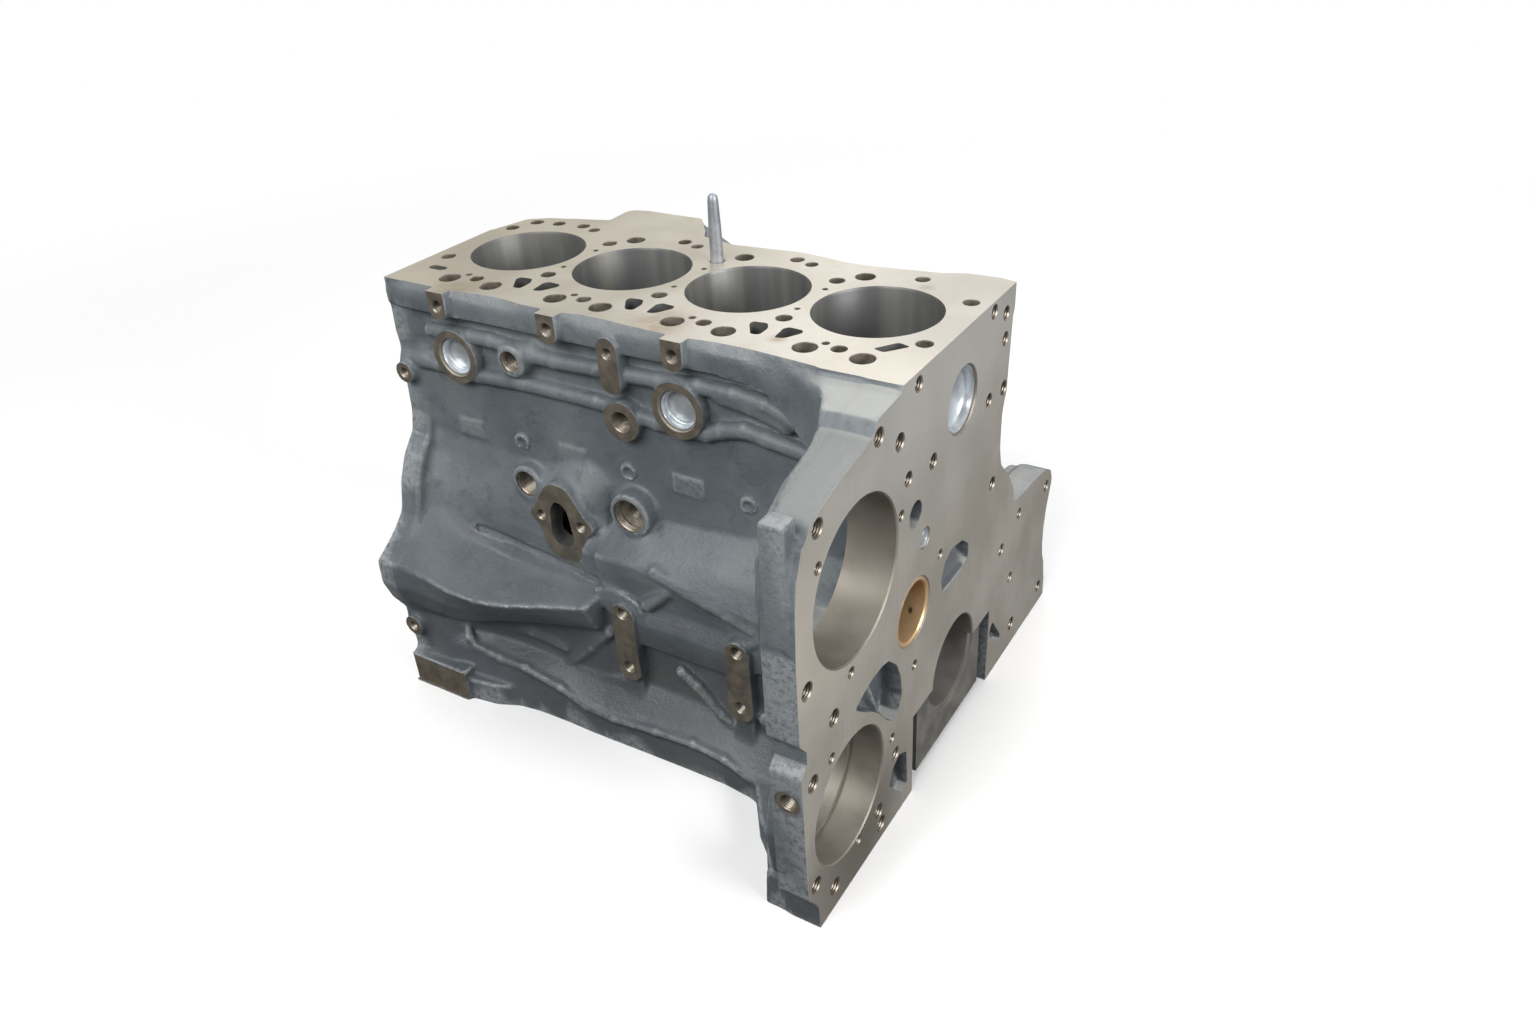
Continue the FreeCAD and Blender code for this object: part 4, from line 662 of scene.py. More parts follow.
def painted():
    s = Surface("block_paint")
    place = s.parts(s.place)
    geometry = s.add("ShaderNodeNewGeometry").outputs
    facing = s.parts(geometry["Normal"])
    cloud = s.noise(14, detail=4)
    fine = s.noise(420, rough=0.65)
    grit = s.noise(120, detail=4, rough=0.6)
    colour = s.mottle(cloud, (91, 98, 103), (107, 113, 116))
    colour = s.tint(colour, s.span(grit, 0.62, 0.78, 0, 0.35), 120, 118, 110)
    blotch = s.noise(60, detail=5, rough=0.7, distort=0.3)
    colour = s.tint(colour, s.span(blotch, 0.5, 0.72, 0, 0.6), 72, 78, 84)
    # Dust on the lower wall, and painted shade: the wall drawn darker toward the foot
    dust = s.noise(36, detail=5, rough=0.7)
    low = s.spot((-190, -156, -46), 80, 60, (0.6, 1, 1.3))
    colour = s.tint(colour, s.times(s.span(dust, 0.46, 0.6, 0, 0.5), low), 118, 116, 100)
    low_shade = s.span(s.calc("ADD", place["Z"], s.times(blotch, 0.04)), 0.13, -0.03, 0, 0.55)
    colour = s.tint(colour, low_shade, 70, 73, 76)
    # Painted shade on the up-facing slopes and in the recesses of the lower wall
    rising = s.span(facing["Z"], 0.2, 0.5)
    slope = s.times(s.times(rising, s.span(facing["Z"], 0.97, 0.86)), s.span(place["Z"], 0.126, 0.112))
    colour = s.tint(colour, s.times(slope, 0.6), 74, 79, 84)
    # Painted shade: recessed parts of the lower wall drawn darker
    inner = s.times(s.span(place["Y"], -0.156, -0.144), s.span(place["Y"], -0.05, -0.09))
    inner = s.times(inner, s.span(place["Z"], 0.075, 0.03))
    colour = s.tint(colour, s.times(inner, 0.4), 62, 64, 66)
    # Painted light at the gear end: its up-facing faces drawn pale as if lit, partly thin paint there; and a
    # painted highlight on the up-facing rim under the head face
    shelf = s.times(s.span(facing["Z"], 0.72, 0.96), s.span(place["X"], -0.085, -0.05))
    shelf_light = s.blend(s.span(place["Y"], -0.168, -0.15), srgb(132, 134, 132), srgb(172, 173, 169))
    colour = s.blend(s.times(shelf, 0.9), colour, shelf_light)
    rim = s.times(rising, s.span(place["Z"], 0.311, 0.317))
    colour = s.tint(colour, s.times(rim, 0.3), 150, 152, 150)
    # Edges worn to bare metal, lightened by pointiness, which also serves as a painted highlight along lit
    # edges
    chips = s.noise(210, detail=5, rough=0.7)
    edge_wear_and_highlight = s.times(s.span(geometry["Pointiness"], 0.507, 0.55, 0, 0.8), s.span(chips, 0.3, 0.58))
    colour = s.tint(colour, edge_wear_and_highlight, 146, 150, 152)
    s.bump(s.calc("ADD", fine, s.times(grit, 1.6)), 0.5, 0.0009)
    return s.clouded(colour, cloud, 0.4, 0.54, 0)


def head_face():
    s = Surface("head_face")
    swirl = s.noise(60, (1, 3, 1), 4)
    cloud = s.noise(9, detail=4, rough=0.6)
    colour = s.mottle(cloud, (188, 182, 169), (204, 199, 188), 0.36, 0.64)
    colour = s.tint(colour, s.span(swirl, 0.55, 0.8, 0, 0.4), 188, 180, 160)
    rust = s.noise(55, detail=5, rough=0.7, distort=0.4)
    stain = s.spot((-222, -92, DECK), 24, 18)
    for x, y, radius, soft in ((-120, -80, 6, 5), (-62, 60, 6, 5), (-430, -100, 18, 14)):
        stain = s.calc("MAXIMUM", stain, s.spot((x, y, DECK), radius, soft))
    colour = s.tint(colour, s.times(s.span(rust, 0.28, 0.6), s.times(stain, 0.6)), 146, 124, 94)
    # Painted shade: the deck drawn darker and warmer toward the rear end, where its reflection fades
    rear = s.spot((-560, 20, DECK), 250, 200)
    colour = s.tint(colour, s.times(rear, 0.5), 182, 172, 146)
    # Painted shade: two patches near the gear end dimmed where the deck's reflection is brightest
    reflection_shade = s.calc("MAXIMUM", s.spot((-8, -8, DECK), 50, 40), s.spot((-35, 66, DECK), 60, 50))
    colour = s.tint(colour, s.times(reflection_shade, 0.45), 150, 147, 139)
    s.bump(s.noise(900, (0.06, 1, 1), 2), 0.08, 0.0003)
    return s.clouded(colour, cloud, 0.34, 0.46, 0.5)


def end_face():
    s = Surface("end_face")
    grain = s.noise(520, (1, 1, 0.03))
    cloud = s.noise(12, detail=4)
    colour = s.mottle(cloud, (184, 179, 169), (196, 191, 182))
    colour = s.tint(colour, s.span(grain, 0.3, 0.7, 0, 0.25), 160, 155, 145)
    # Painted highlight: the face drawn paler toward its top
    high = s.spot((0, -40, 330), 110, 90, (1, 0.6, 1))
    colour = s.tint(colour, s.times(high, 0.7), 206, 204, 199)
    rust = s.noise(40, detail=5, rough=0.7)
    low = s.spot((0, -180, 60), 110, 80)
    colour = s.tint(colour, s.times(s.span(rust, 0.45, 0.66, 0, 0.2), low), 178, 168, 154)
    # Painted shade: the face drawn darker toward its foot
    foot = s.spot((0, -190, -60), 70, 60)
    colour = s.tint(colour, s.times(foot, 0.8), 116, 110, 102)
    # Painted light: a paler patch near the flange's near edge
    side = s.spot((0, -245, 190), 70, 50)
    colour = s.tint(colour, s.times(side, 0.6), 224, 216, 202)
    s.bump(grain, 0.07, 0.0002)
    return s.clouded(colour, cloud, 0.42, 0.5, 0.5)


def worn_pad():
    s = Surface("worn_pad")
    cloud = s.noise(70, detail=5, rough=0.65)
    fine = s.noise(400)
    colour = s.mottle(cloud, (100, 94, 84), (122, 114, 101))
    colour = s.tint(colour, s.span(fine, 0.6, 0.8, 0, 0.5), 98, 80, 64)
    s.bump(fine, 0.15, 0.0003)
    return s.clouded(colour, cloud, 0.42, 0.58, 0.4)


def bore_wall():
    s = Surface("honed_bore")
    streak = s.noise(46, (1, 1, 0.03))
    cloud = s.noise(14, (1, 1, 0.5), 4)
    colour = s.mottle(streak, (98, 99, 98), (118, 118, 114), 0.4, 0.66)
    colour = s.tint(colour, s.span(cloud, 0.52, 0.75, 0, 0.5), 132, 124, 106)
    s.bump(s.noise(300), 0.05, 0.0002)
    return s.clouded(colour, cloud, 0.34, 0.48, 0.45)


def satin_bore():
    s = Surface("satin_bore")
    cloud = s.noise(20, detail=4)
    s.bump(s.noise(300, (1, 0.2, 0.2)), 0.05, 0.0002)
    return s.clouded(s.mottle(cloud, (132, 126, 116), (150, 144, 134)), cloud, 0.46, 0.56, 0.5)


def drilled():
    s = Surface("drilled_wall")
    cloud = s.noise(90)
    return s.clouded(s.mottle(cloud, (118, 110, 98), (150, 142, 130)), cloud, 0.28, 0.4, 0.55)


def rough_iron(name, dark, light, metal=0.4):
    s = Surface(name)
    cloud = s.noise(40, detail=5, rough=0.6)
    s.bump(s.noise(500), 0.2, 0.0004)
    return s.clouded(s.mottle(cloud, dark, light), cloud, 0.42, 0.56, metal)


def bright_metal(name, dark, light, rough, scale, metal):
    s = Surface(name)
    cloud = s.noise(scale)
    s.bump(s.noise(500, detail=2), 0.03, 0.0001)
    return s.clouded(s.mottle(cloud, dark, light), cloud, rough, rough + 0.08, metal)


PAINT = painted()
DECK_FACE = head_face()
END_FACE = end_face()
PAD = worn_pad()
BORE = bore_wall()
SATIN = satin_bore()
DRILLED = drilled()
# Cast passages: raw iron, drawn darker as painted shade inside the slots and openings
SHADED_SLOT = rough_iron("cast_passage_shaded", (70, 71, 70), (92, 92, 90), 0.1)
CAP_IRON = rough_iron("cap_iron", (124, 122, 117), (140, 138, 132), 0.5)
BOLT = rough_iron("black_bolt", (44, 44, 46), (62, 61, 60))
BUSH = bright_metal("bush_bronze", (206, 172, 128), (226, 194, 154), 0.34, 30, 0.5)
PLUG = bright_metal("bright_plug", (200, 206, 210), (222, 227, 231), 0.3, 60, 0.7)
STUD = bright_metal("grey_stud", (150, 153, 158), (172, 175, 180), 0.4, 90, 0.5)


# Turned shapes and cutting pieces

def outward(points, faces):
    """Faces of a closed shape, turned to point out of it."""
    p = np.array(points, dtype=float)
    volume = sum(np.dot(p[f[0]], np.cross(p[f[i]], p[f[i + 1]])) for f in faces for i in range(1, len(f) - 1))
    return [tuple(reversed(f)) for f in faces] if volume < 0 else faces


def lathe(axis, centre, profile, count):
    """Shape turned from (radius, along) corners; a profile that starts off the axis closes on itself."""
    points, faces, rings = [], [], []
    for r, t in profile:
        turns = count if r > 0 else 1
        rings.append(range(len(points), len(points) + turns))
        for i in range(turns):
            a = 2 * math.pi * i / count
            points.append(placed(axis, centre[0] + r * math.cos(a), centre[1] + r * math.sin(a), t))
    if profile[0][0] > 0:
        rings.append(rings[0])
    for a, b in zip(rings, rings[1:]):
        for i in range(count):
            n = i + 1
            face = dict.fromkeys((a[i % len(a)], b[i % len(b)], b[n % len(b)], a[n % len(a)]))
            if len(face) > 2:
                faces.append(tuple(face))
    return points, faces


class Cutter:
    """Closed shapes taken away from a piece, each leaving its own surface."""

    def __init__(self, name):
        self.name = name
        self.points = []
        self.faces = []
        self.surfaces = []
        self.slots = []

    def take(self, points, faces, surface):
        """Adds one closed shape."""
        base = len(self.points)
        self.points += [tuple(v * MM for v in q) for q in points]
        self.faces += [tuple(base + i for i in f) for f in outward(points, faces)]
        if surface not in self.surfaces:
            self.surfaces.append(surface)
        self.slots += [self.surfaces.index(surface)] * len(faces)

    def box(self, low, high, surface):
        points = [(x, y, z) for x in (low[0], high[0]) for y in (low[1], high[1]) for z in (low[2], high[2])]
        faces = [(0, 1, 3, 2), (4, 6, 7, 5), (0, 4, 5, 1), (2, 3, 7, 6), (0, 2, 6, 4), (1, 5, 7, 3)]
        self.take(points, faces, surface)

    def bridge(self, points, surface):
        """Closed shape between two like outlines, one after the other in points."""
        n = len(points) // 2
        faces = [tuple(range(n)), tuple(range(2 * n - 1, n - 1, -1))]
        faces += [(i, n + i, n + (i + 1) % n, (i + 1) % n) for i in range(n)]
        self.take(points, faces, surface)

    def prism(self, axis, outline, start, end, surface):
        """An outline carried along an axis."""
        self.bridge([placed(axis, u, v, t) for t in (start, end) for u, v in outline], surface)

    def turned(self, axis, centre, profile, surface, count=24):
        """A shape turned round an axis from (radius, along) corners."""
        self.take(*lathe(axis, centre, profile, count), surface)

    def bore(self, axis, centre, face, out, steps, mouth=1.2, surface=None, count=64, lip=None):
        """A wide bore with a chamfered mouth, from (radius, depth) steps; out is the way out of the metal."""
        radius = steps[0][0]
        profile = [(0, face + out * 12), (radius + mouth, face + out * 12),
                   (radius + mouth, face + out * 0.02), (radius, face - out * (lip or mouth))]
        for i, (r, depth) in enumerate(steps):
            if i:
                profile.append((r, face - out * steps[i - 1][1]))
            profile.append((r, face - out * depth))
        profile.append((0, face - out * steps[-1][1]))
        self.turned(axis, centre, profile, surface or SATIN, count)

    def hole(self, axis, centre, radius, face, depth, out, chamfer, pitch=0, count=24, surface=None):
        """A drilled hole into a face; out is the way out of the metal, pitch gives it thread ridges."""
        mouth = radius + chamfer
        profile = [(0, face + out * 6), (mouth, face + out * 6), (mouth, face + out * 0.02),
                   (radius, face - out * chamfer)]
        t = chamfer
        for _ in range(int(min(depth - chamfer, 16) / pitch) if pitch else 0):
            profile.append((radius + pitch * 0.28, face - out * (t + pitch * 0.5)))
            t += pitch
            profile.append((radius - pitch * 0.12, face - out * t))
        profile.append((radius - pitch * 0.12, face - out * depth))
        profile.append((0, face - out * (depth + radius * 0.5)))
        self.turned(axis, centre, profile, surface or DRILLED, count)

    def use_on(self, obj):
        mesh = bpy.data.meshes.new(self.name)
        mesh.from_pydata(self.points, [], self.faces)
        for surface in self.surfaces:
            mesh.materials.append(surface)
        mesh.polygons.foreach_set("material_index", self.slots)
        mesh.update()
        tool = new_object(self.name, mesh)
        tool.hide_render = True
        step = obj.modifiers.new(self.name, "BOOLEAN")
        step.operation = "DIFFERENCE"
        step.solver = "MANIFOLD"
        step.material_mode = "TRANSFER"
        step.object = tool
        return tool


def cut(obj, cutters):
    """Takes the cutters' shapes away from the object."""
    helpers = [cutter.use_on(obj) for cutter in cutters]
    baked(obj)
    for helper in helpers:
        shape = helper.data
        bpy.data.objects.remove(helper)
        bpy.data.meshes.remove(shape)


def smoothed(mesh):
    mesh.polygons.foreach_set("use_smooth", [True] * len(mesh.polygons))
    mesh.set_sharp_from_angle(angle=math.radians(34))


def rounded(points, radius, turns=4):
    """Outline with its corners rounded."""
    out = []
    n = len(points)
    for i in range(n):
        p = Vector(points[i])
        a, b = Vector(points[i - 1]) - p, Vector(points[(i + 1) % n]) - p
        back = min(radius, a.length * 0.45, b.length * 0.45)
        start, end = p + a.normalized() * back, p + b.normalized() * back
        for k in range(turns + 1):
            t = k / turns
            q = start * (1 - t) ** 2 + p * 2 * t * (1 - t) + end * t * t
            out.append((q.x, q.y))
    return out


def grown(points, by):
    """Outline moved outward from its middle."""
    u = sum(p[0] for p in points) / len(points)
    v = sum(p[1] for p in points) / len(points)
    out = []
    for a, b in points:
        far = math.hypot(a - u, b - v)
        out.append((a + (a - u) * by / far, b + (b - v) * by / far))
    return out


casting = new_object("block_casting", casting_mesh())
casting.data.materials.append(PAINT)
thin = casting.modifiers.new("thin", "DECIMATE")
thin.ratio = 0.115
baked(casting)

tools = []


def cutting(name):
    tool = Cutter(name)
    tools.append(tool)
    return tool


c = cutting("head_plane")
c.box((-560, -320, DECK), (60, 320, 400), DECK_FACE)
c = cutting("gear_plane")
c.box((0, -320, -140), (60, 320, 420), END_FACE)
c = cutting("rear_plane")
c.box((-580, -320, -140), (-LENGTH, 320, 420), END_FACE)
c = cutting("rail_plane")
c.box((-600, -330, -150), (80, 330, RAIL), END_FACE)
c = cutting("cap_room")
c.box((-540, -85, -160), (20, 85, 0), PAINT)

# Machined pads of the near side: x, z, radius, reach
c = cutting("pads")
for x, z, r, reach in ((-197, 260, 29, 113), (-437, 261, 29, 113), (-256, 237, 21.5, 113),
                       (-502.5, 235.5, 14, 118), (-500, -14, 15, 180), (-370, 269.5, 10.2, 112.5),
                       (-372.5, 150, 12.5, 115.5), (-254, 150, 16, 119.5)):
    c.turned("y", (x, z), [(0, -reach - 12), (r, -reach - 12), (r, -reach), (0, -reach)], PAD, 40)
c.box((-274, -130, 262.5), (-244, -116, 314), PAD)
for x in NOTCH_X:
    c.box((x - 13, -130, 296), (x + 13, -118, 330), PAD)
c.prism("y", [(PUMP_X + a, b) for a, b in grown(PUMP_FACE, 1.5)], -150, -130, PAD)
for x in PAD_X:
    c.box((x - 15, -158, -17), (x + 15, -145, 73), PAD)
c.box((-520, -200, -84.5), (-440, -180, -53), PAD)
for centre in FAR_PLUGS:
    c.turned("y", centre, [(0, 106), (29, 106), (29, FAR_PLUG_FACE), (0, FAR_PLUG_FACE)], PAD, 40)

# Large bores
c = cutting("cylinders")
for x in BORES:
    c.bore("z", (x, 0), DECK, 1, [(BORE_RADIUS, 231)], 1.2, BORE, 96, 2.5)
c.bore("x", (0, 0), 0, 1, [(CRANK_RADIUS, 520)], count=96)
c = cutting("gear_bores")
c.bore("x", UPPER_BORE[:2], 0, 1, [(UPPER_BORE[2], 102)], count=96)
c.bore("x", LOWER_BORE[:2], 0, 1, [(LOWER_BORE[2], 30), (LOWER_STEP, 110)], count=96)
c.bore("x", CAM, 0, 1, [(CAM_SEAT, 25), (CAM_TUNNEL, 498), (CAM_SEAT, 520)], 1.1, lip=1.0)
c.bore("x", END_PLUG, 0, 1, [(END_PLUG_RADIUS, 16)])
c.bore("x", END_PLUG, -LENGTH, -1, [(END_PLUG_RADIUS, 16)])
c.bore("x", GALLERY, 0, 1, [(GALLERY_RADIUS, 12)], 0.8, count=40)

# Holes in the head face
c = cutting("head_holes")
drill = [(w, y, 6.5) for w in WALLS for y in (-43, 45)]
drill += [(b + 4, 76, 6) for b in BORES] + [(b + 7, -77, 6) for b in BORES]
drill += [(b + s, -85, 9.5) for b in BORES for s in (-17.5, 30.5)]
drill += [(w + 17.5, 62.5, 8.4) for w in WALLS[1:4]] + [(w - 38.5, 70.5, 5.4) for w in WALLS[1:4]]
drill += [(WALLS[4] + 36, 73, 6), (WALLS[4] + 12, 68, 6.5)]
for x, y, r in drill:
    c.hole("z", (x, y), r, DECK, 62, 1, 0.6, 0, 28)
small = [(w, y, 2.4) for w in WALLS[1:4] for y in (24, -22)] + [(b - 7, -72, 3.1) for b in BORES]
for x, y, r in small:
    c.hole("z", (x, y), r, DECK, 18, 1, 0.3, 0, 14)
FIRST = [(-19, -58.5), (-6, -57), (-0.8, -66), (-0.8, -79), (-8, -80.5), (-19, -64)]
SECOND = [(10, -61), (13, -57), (26, -58), (28, -63), (20, -77), (12, -79)]
for w in WALLS[1:4]:
    for shape in (FIRST, SECOND):
        c.prism("z", rounded([(w + a, b) for a, b in shape], 3.5), 268, 330, SHADED_SLOT)
c.prism("z", rounded([(-47, -66), (-34, -48.5), (-23, -52), (-37, -69)], 3), 268, 330, SHADED_SLOT)
end_slot = [(WALLS[4] + 13.5 + v, -70 + u * 0.9) for u, v in slot_outline(0, 0, 4.8, 9.6)]
c.prism("z", end_slot, 268, 330, SHADED_SLOT)

# Holes in the gear-end face: y, z, radius
FACE_HOLES = [
    (-87, 313, 5.5), (-150, 301, 6.5), (-237, 278, 6.5), (-238, 248, 4), (-117, 281, 6.5), (-102, 243, 5.5),
    (-58, 235.5, 6), (-113.5, 218, 3.8), (-39, 139, 3.8), (-258, 160, 6.5), (-195, 130, 4), (-222, 108, 6.5),
    (-255, 72, 6.5), (-227, 73, 3.8), (-85, 57, 3.8), (-126, 10, 3.8), (-119, -13, 5.5), (-256, -33, 6.5),
    (-187, -50.5, 3.8), (-227, -64, 7), (-150, -52, 6.5), (-146, -70, 6.5), (55, 314, 5.5), (82, 303, 5.5),
    (83, 280, 5.5), (53, 237, 5.5), (86, 234, 6), (72, 147, 6), (107, 56, 5.5), (151, 72, 4.8),
    (137, 6, 4.8), (150, -60, 6.5), (229, 61, 5.5), (230, -64, 5.5),
]
c = cutting("face_holes")
for y, z, r in FACE_HOLES:
    c.hole("x", (y, z), r, 0, 23, 1, 1.1, 1.9 if r > 5 else 1.4, 22)
c.hole("x", (-88, 205), 11, 0, 33, 1, 0.4, 0, 36, PAINT)

# Ports and threaded holes of the near side: x, z, radius, reach, depth, pitch, sides
c = cutting("side_holes")
SIDE_HOLES = [(-370, 269.5, 9, 112.5, 16, 2, 36), (-256, 237, 8.5, 113, 22, 2, 32),
              (-372.5, 150, 11, 115.5, 16, 2, 36), (-254, 150, 14.5, 119.5, 7, 2, 40),
              (-259, 299, 4.3, 116, 20, 1.4, 20)]
SIDE_HOLES += [(x, 310, 5, 118, 22, 1.4, 20) for x in NOTCH_X]
SIDE_HOLES += [(-502.5, 235.5, 4.3, 118, 18, 1.4, 20), (-500, -14, 4.3, 180, 18, 1.4, 20)]
SIDE_HOLES += [(PUMP_X + s, z, 4.3, 130, 18, 1.4, 20) for s, z in ((-22.5, 131), (22.5, 130))]
SIDE_HOLES += [(x, z, 5.3, 145, 15, 1.6, 22) for x in PAD_X for z in (61, 1)]
for x, z, r, face, depth, pitch, count in SIDE_HOLES:
    c.hole("y", (x, z), r, -face, depth, -1, 1.2, pitch, count)
c.turned("y", (-13, 60), [(0, -284), (10.5, -284), (10.5, -269.5), (0, -269.5)], PAD, 32)
for out, face, plugs in ((-1, NEAR_PLUG_FACE, NEAR_PLUGS), (1, FAR_PLUG_FACE, FAR_PLUGS)):
    for centre in plugs:
        c.bore("y", centre, face, out, [(SIDE_PLUG_RADIUS, 12)], 1.1, count=48)
OPENING = [(-13, 112), (-7, 104), (7, 104), (13, 112), (9, 142), (3, 149), (-5, 149), (-11, 140)]
c.prism("y", rounded([(PUMP_X + a, b) for a, b in OPENING], 5), -140, -90, SHADED_SLOT)
c = cutting("late_holes")
c.hole("y", (-13, 60), 6.4, -269.5, 13, -1, 0.9, 1.8, 28)
c.hole("y", (-254, 150), 8, -114, 20, -1, 0.9, 1.8, 32)

# Sump bolt holes and rear flange holes
RAIL_X = [-150 - 58 * i for i in range(5)]
sump = [(x, -146) for x in RAIL_X] + [(x, 143) for x in RAIL_X]
sump += [(-14, y) for y in (-230, -180, -125, 125, 180, 230)]
sump += [(-LENGTH + 13, y) for y in (-150, -110, 110, 150)]
for x, y in sump:
    c.hole("z", (x, y), 4.2, RAIL, 18, -1, 0.8, 1.4, 18)
REAR_HOLES = [(-95, 300), (-92, 200), (-128, 120), (-176, 55), (-160, -20), (-160, -70), (20, 306), (80, 200),
              (128, 110), (165, 30), (160, -66), (0, 190)]
for y, z in REAR_HOLES:
    c.hole("x", (y, z), 5.2, -LENGTH, 20, -1, 1, 1.6, 20)

cut(casting, tools)
smoothed(casting.data)

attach(casting, "root")
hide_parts("cylinder_block")


def turned_piece(name, node, axis, centre, face, profile, surface, out=1, count=72):
    """A piece turned from a half section of (radius, along) corners, along counted outward from a face."""
    points, faces = lathe(axis, centre, [(r, face + out * t) for r, t in profile], count)
    mesh = bpy.data.meshes.new(name)
    mesh.from_pydata([tuple(v * MM for v in p) for p in points], [], outward(points, faces))
    mesh.materials.append(surface)
    smoothed(mesh)
    obj = new_object(name, mesh)
    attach(obj, "root")
    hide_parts(node)
    return obj


def cup(radius, depth, sink, wall=2.0):
    """Half section of a pressed cup, open outward, its lip and its corner rounded."""
    r = radius - 0.05
    inner = r - wall
    profile = [(0, -depth), (r - 3, -depth)]
    profile += [(r - 3 + 3 * math.sin(a), -depth + 3 - 3 * math.cos(a)) for a in (0.4, 0.8, 1.2, math.pi / 2)]
    profile += [(r, -sink - 0.6), (r - 0.4, -sink), (inner + 0.4, -sink), (inner, -sink - 0.6)]
    profile += [(inner - 2.4 + 2.4 * math.cos(a), -depth + wall + 2.4 - 2.4 * math.sin(a))
                for a in (0, 0.4, 0.8, 1.2)]
    profile += [(inner - 3.4, -depth + wall - 0.1), (inner * 0.55, -depth + wall + 0.5),
                (0, -depth + wall + 0.6)]
    return profile


END_CUP = cup(END_PLUG_RADIUS, 12, 2)
SIDE_CUP = cup(SIDE_PLUG_RADIUS, 11, 2.5, 1.6)
turned_piece("end_core_plug", "core_plug_gear_end", "x", END_PLUG, 0, END_CUP, PLUG)
turned_piece("rear_core_plug", "core_plug_rear", "x", END_PLUG, -LENGTH, END_CUP, PLUG, -1)
turned_piece("gallery_plug", "gallery_plug_gear_end", "x", GALLERY, 0,
             cup(GALLERY_RADIUS, 9, 1, 1.2), PLUG, 1, 40)
for side, face, out, plugs in (("near", NEAR_PLUG_FACE, -1, NEAR_PLUGS),
                               ("far", FAR_PLUG_FACE, 1, FAR_PLUGS)):
    for i, centre in enumerate(plugs, 1):
        turned_piece("%s_plug_%d" % (side, i), "core_plug_%s_%d" % (side, i), "y", centre, face,
                     SIDE_CUP, PLUG, out, 56)
turned_piece("cam_rear_plug", "camshaft_rear_plug", "x", CAM, -LENGTH, cup(CAM_SEAT, 13, 2),
             PLUG, -1)

BUSH_SECTION = [(26, -23.5), (26.8, -24.5), (29, -24.5), (29.45, -24), (29.45, -1), (29, -0.5), (27.4, -0.5),
                (26, -1.9)]
bush = turned_piece("cam_bush", "camshaft_bush", "x", CAM, 0, BUSH_SECTION, BUSH)
OIL_ANGLE = math.radians(-38)
OIL_HOLE = 2.4
OIL_BACK = 13.0
oil_points = []
for r in (23, 31):
    for i in range(16):
        t = math.pi * i / 8
        u, v = OIL_HOLE * math.cos(t), OIL_HOLE * math.sin(t)
        oil_points.append((u - OIL_BACK, CAM[0] + r * math.cos(OIL_ANGLE) - v * math.sin(OIL_ANGLE),
                           CAM[1] + r * math.sin(OIL_ANGLE) + v * math.cos(OIL_ANGLE)))
oil = Cutter("bush_oil_hole")
oil.bridge(oil_points, BUSH)
cut(bush, [oil])

STUD_SECTION = [(0, -40), (5.4, -40), (6.4, -39), (6.4, -4), (5.9, -3), (5.9, 2), (5.6, 30), (4.7, 54),
                (4.2, 57.5), (3, 59.4), (1.4, 60), (0, 60)]
turned_piece("guide_rod", "guide_stud", "z", (WALLS[2], 45), DECK, STUD_SECTION, STUD, 1, 32)

# Pieces shown as constructed, with their own surfaces and softened edges
for name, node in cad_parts.items():
    is_cap = name.startswith("main_cap")
    if is_cap or name.startswith("cap_"):
        node.data.materials.clear()
        node.data.materials.append(CAP_IRON if is_cap else BOLT)
    if is_cap:
        edge = node.modifiers.new("edge", "BEVEL")
        edge.width = 0.0008
        edge.segments = 2
        edge.limit_method = "ANGLE"
        edge.angle_limit = math.radians(50)


# Floor, lights and camera
WHITE = (1, 1, 1, 1)
MIDDLE = (-0.25, 0.0, 0.12)
floor_mesh = bpy.data.meshes.new("floor")
half = 40.0
floor_mesh.from_pydata([(-half, -half, 0), (half, -half, 0), (half, half, 0), (-half, half, 0)], [],
                       [(0, 1, 2, 3)])
floor = new_object("floor", floor_mesh)
floor.location = (-0.256, 0.0, RAIL * MM - 0.0002)
s = Surface("pale_floor")
seen = s.add("ShaderNodeLightPath").outputs["Is Camera Ray"]
s.shader.inputs["Specular IOR Level"].default_value = 0
far_off = s.calc("SUBTRACT", 1.0, s.spot((0.0, 0.0, 0.0), 1500.0, 700.0))
shown = s.blend(far_off, srgb(246, 246, 246), (0, 0, 0, 1))
s.shader.inputs["Emission Color"].default_value = WHITE
s.link(s.times(far_off, seen), s.shader.inputs["Emission Strength"])
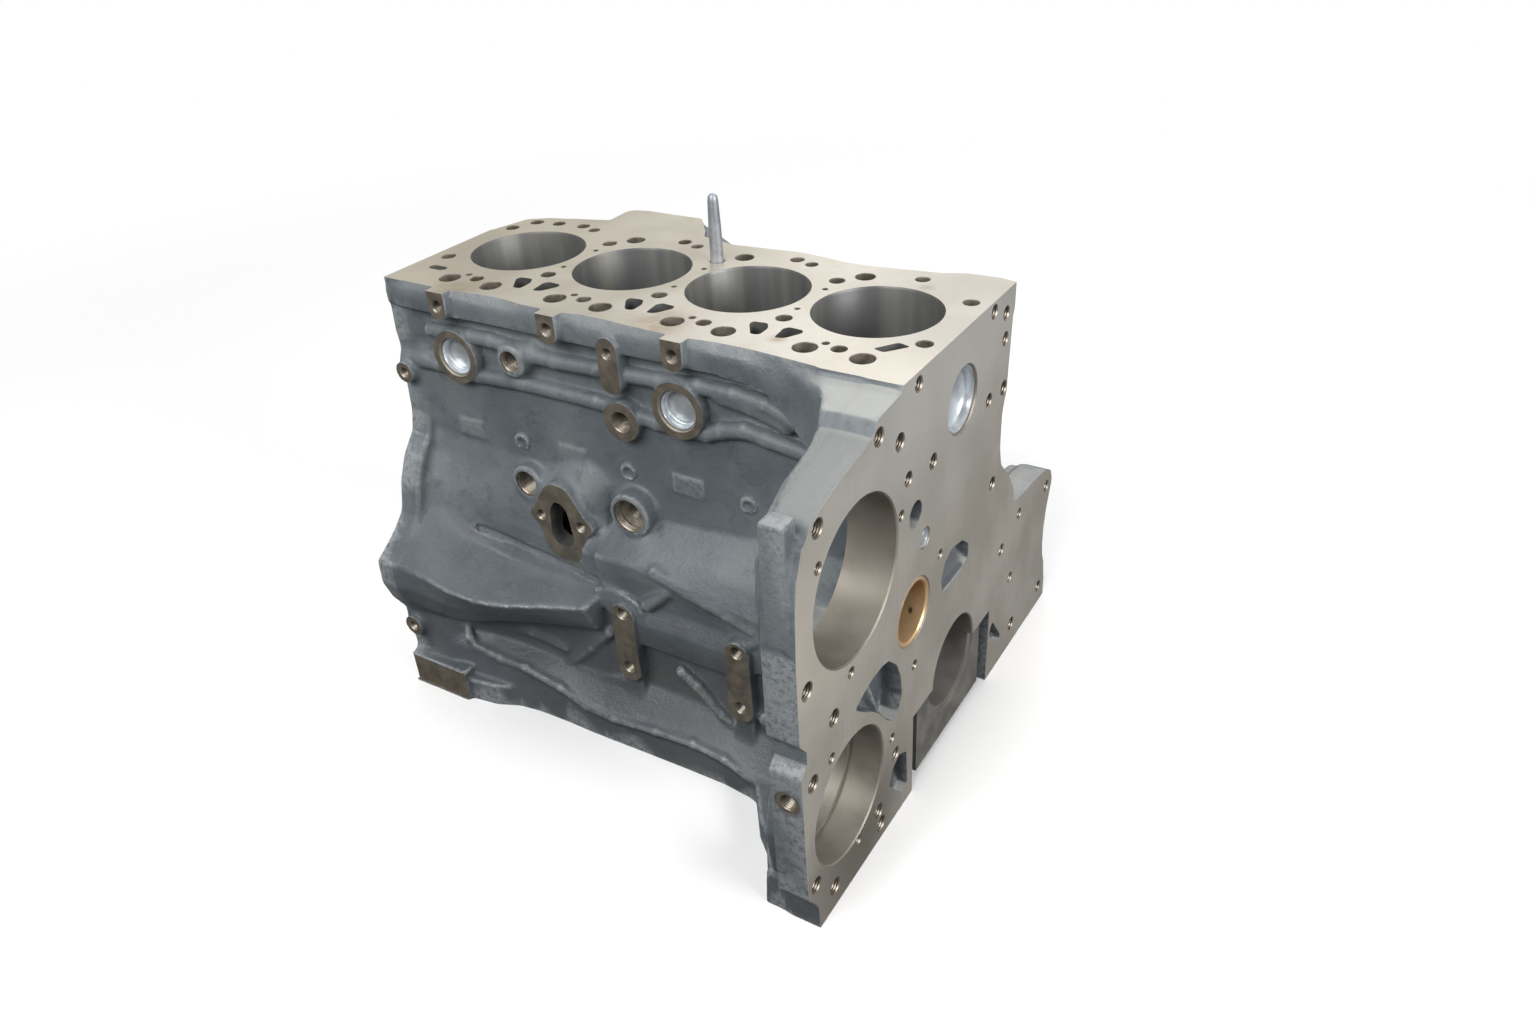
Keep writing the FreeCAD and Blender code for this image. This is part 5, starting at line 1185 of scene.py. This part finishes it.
floor_mesh.materials.append(s.finish(s.blend(seen, srgb(60, 61, 62), shown), 0.9, 0.0))

world = bpy.data.worlds.new("studio")
bpy.context.scene.world = world
world.use_nodes = True
nodes = world.node_tree.nodes
nodes.clear()
links = world.node_tree.links
out = nodes.new("ShaderNodeOutputWorld")
pick = nodes.new("ShaderNodeMixShader")
rays = nodes.new("ShaderNodeLightPath")
links.new(rays.outputs["Is Camera Ray"], pick.inputs[0])
links.new(pick.outputs[0], out.inputs[0])
# Soft light on the object, plain white behind it
for i, strength in ((1, 0.4), (2, 1.0)):
    light = nodes.new("ShaderNodeBackground")
    light.inputs["Color"].default_value = WHITE
    light.inputs["Strength"].default_value = strength
    links.new(light.outputs[0], pick.inputs[i])


def facing(direction):
    return Vector(direction).to_track_quat("-Z", "Y").to_euler()


def area_light(name, place, size, power):
    data = bpy.data.lights.new(name, "AREA")
    data.shape = "RECTANGLE"
    data.size, data.size_y = size
    data.energy = power
    lamp = new_object(name, data)
    lamp.location = place
    lamp.rotation_euler = facing(Vector(MIDDLE) - Vector(place))


sky_light = bpy.data.lights.new("sky_light", "SUN")
sky_light.energy = 0.5
sky_light.angle = 1.0
new_object("sky_light", sky_light).rotation_euler = facing((0.25, 0.1, -1))
area_light("end_light", (2.3, -0.3, 1.1), (1.6, 1.2), 60)
area_light("near_light", (-0.5, -1.95, 1.85), (2.2, 1.0), 52)
area_light("back_light", (-0.6, 2.2, 1.9), (2.2, 1.0), 20)

# Where the photo was taken from, the camera's turn in degrees and its focal length
CAMERA_PLACE = (0.3083, -0.7707, 0.6744)
CAMERA_TURN = (58.1367, 2.8643, 31.0658)
FOCAL = 27.246
camera_data = bpy.data.cameras.new("camera")
camera = new_object("camera", camera_data)
camera.location = CAMERA_PLACE
camera.rotation_euler = tuple(math.radians(a) for a in CAMERA_TURN)
camera_data.lens = FOCAL
camera_data.sensor_width = 36.0
camera_data.clip_start = 0.01
bpy.context.scene.camera = camera
bpy.context.scene.view_settings.view_transform = "Standard"
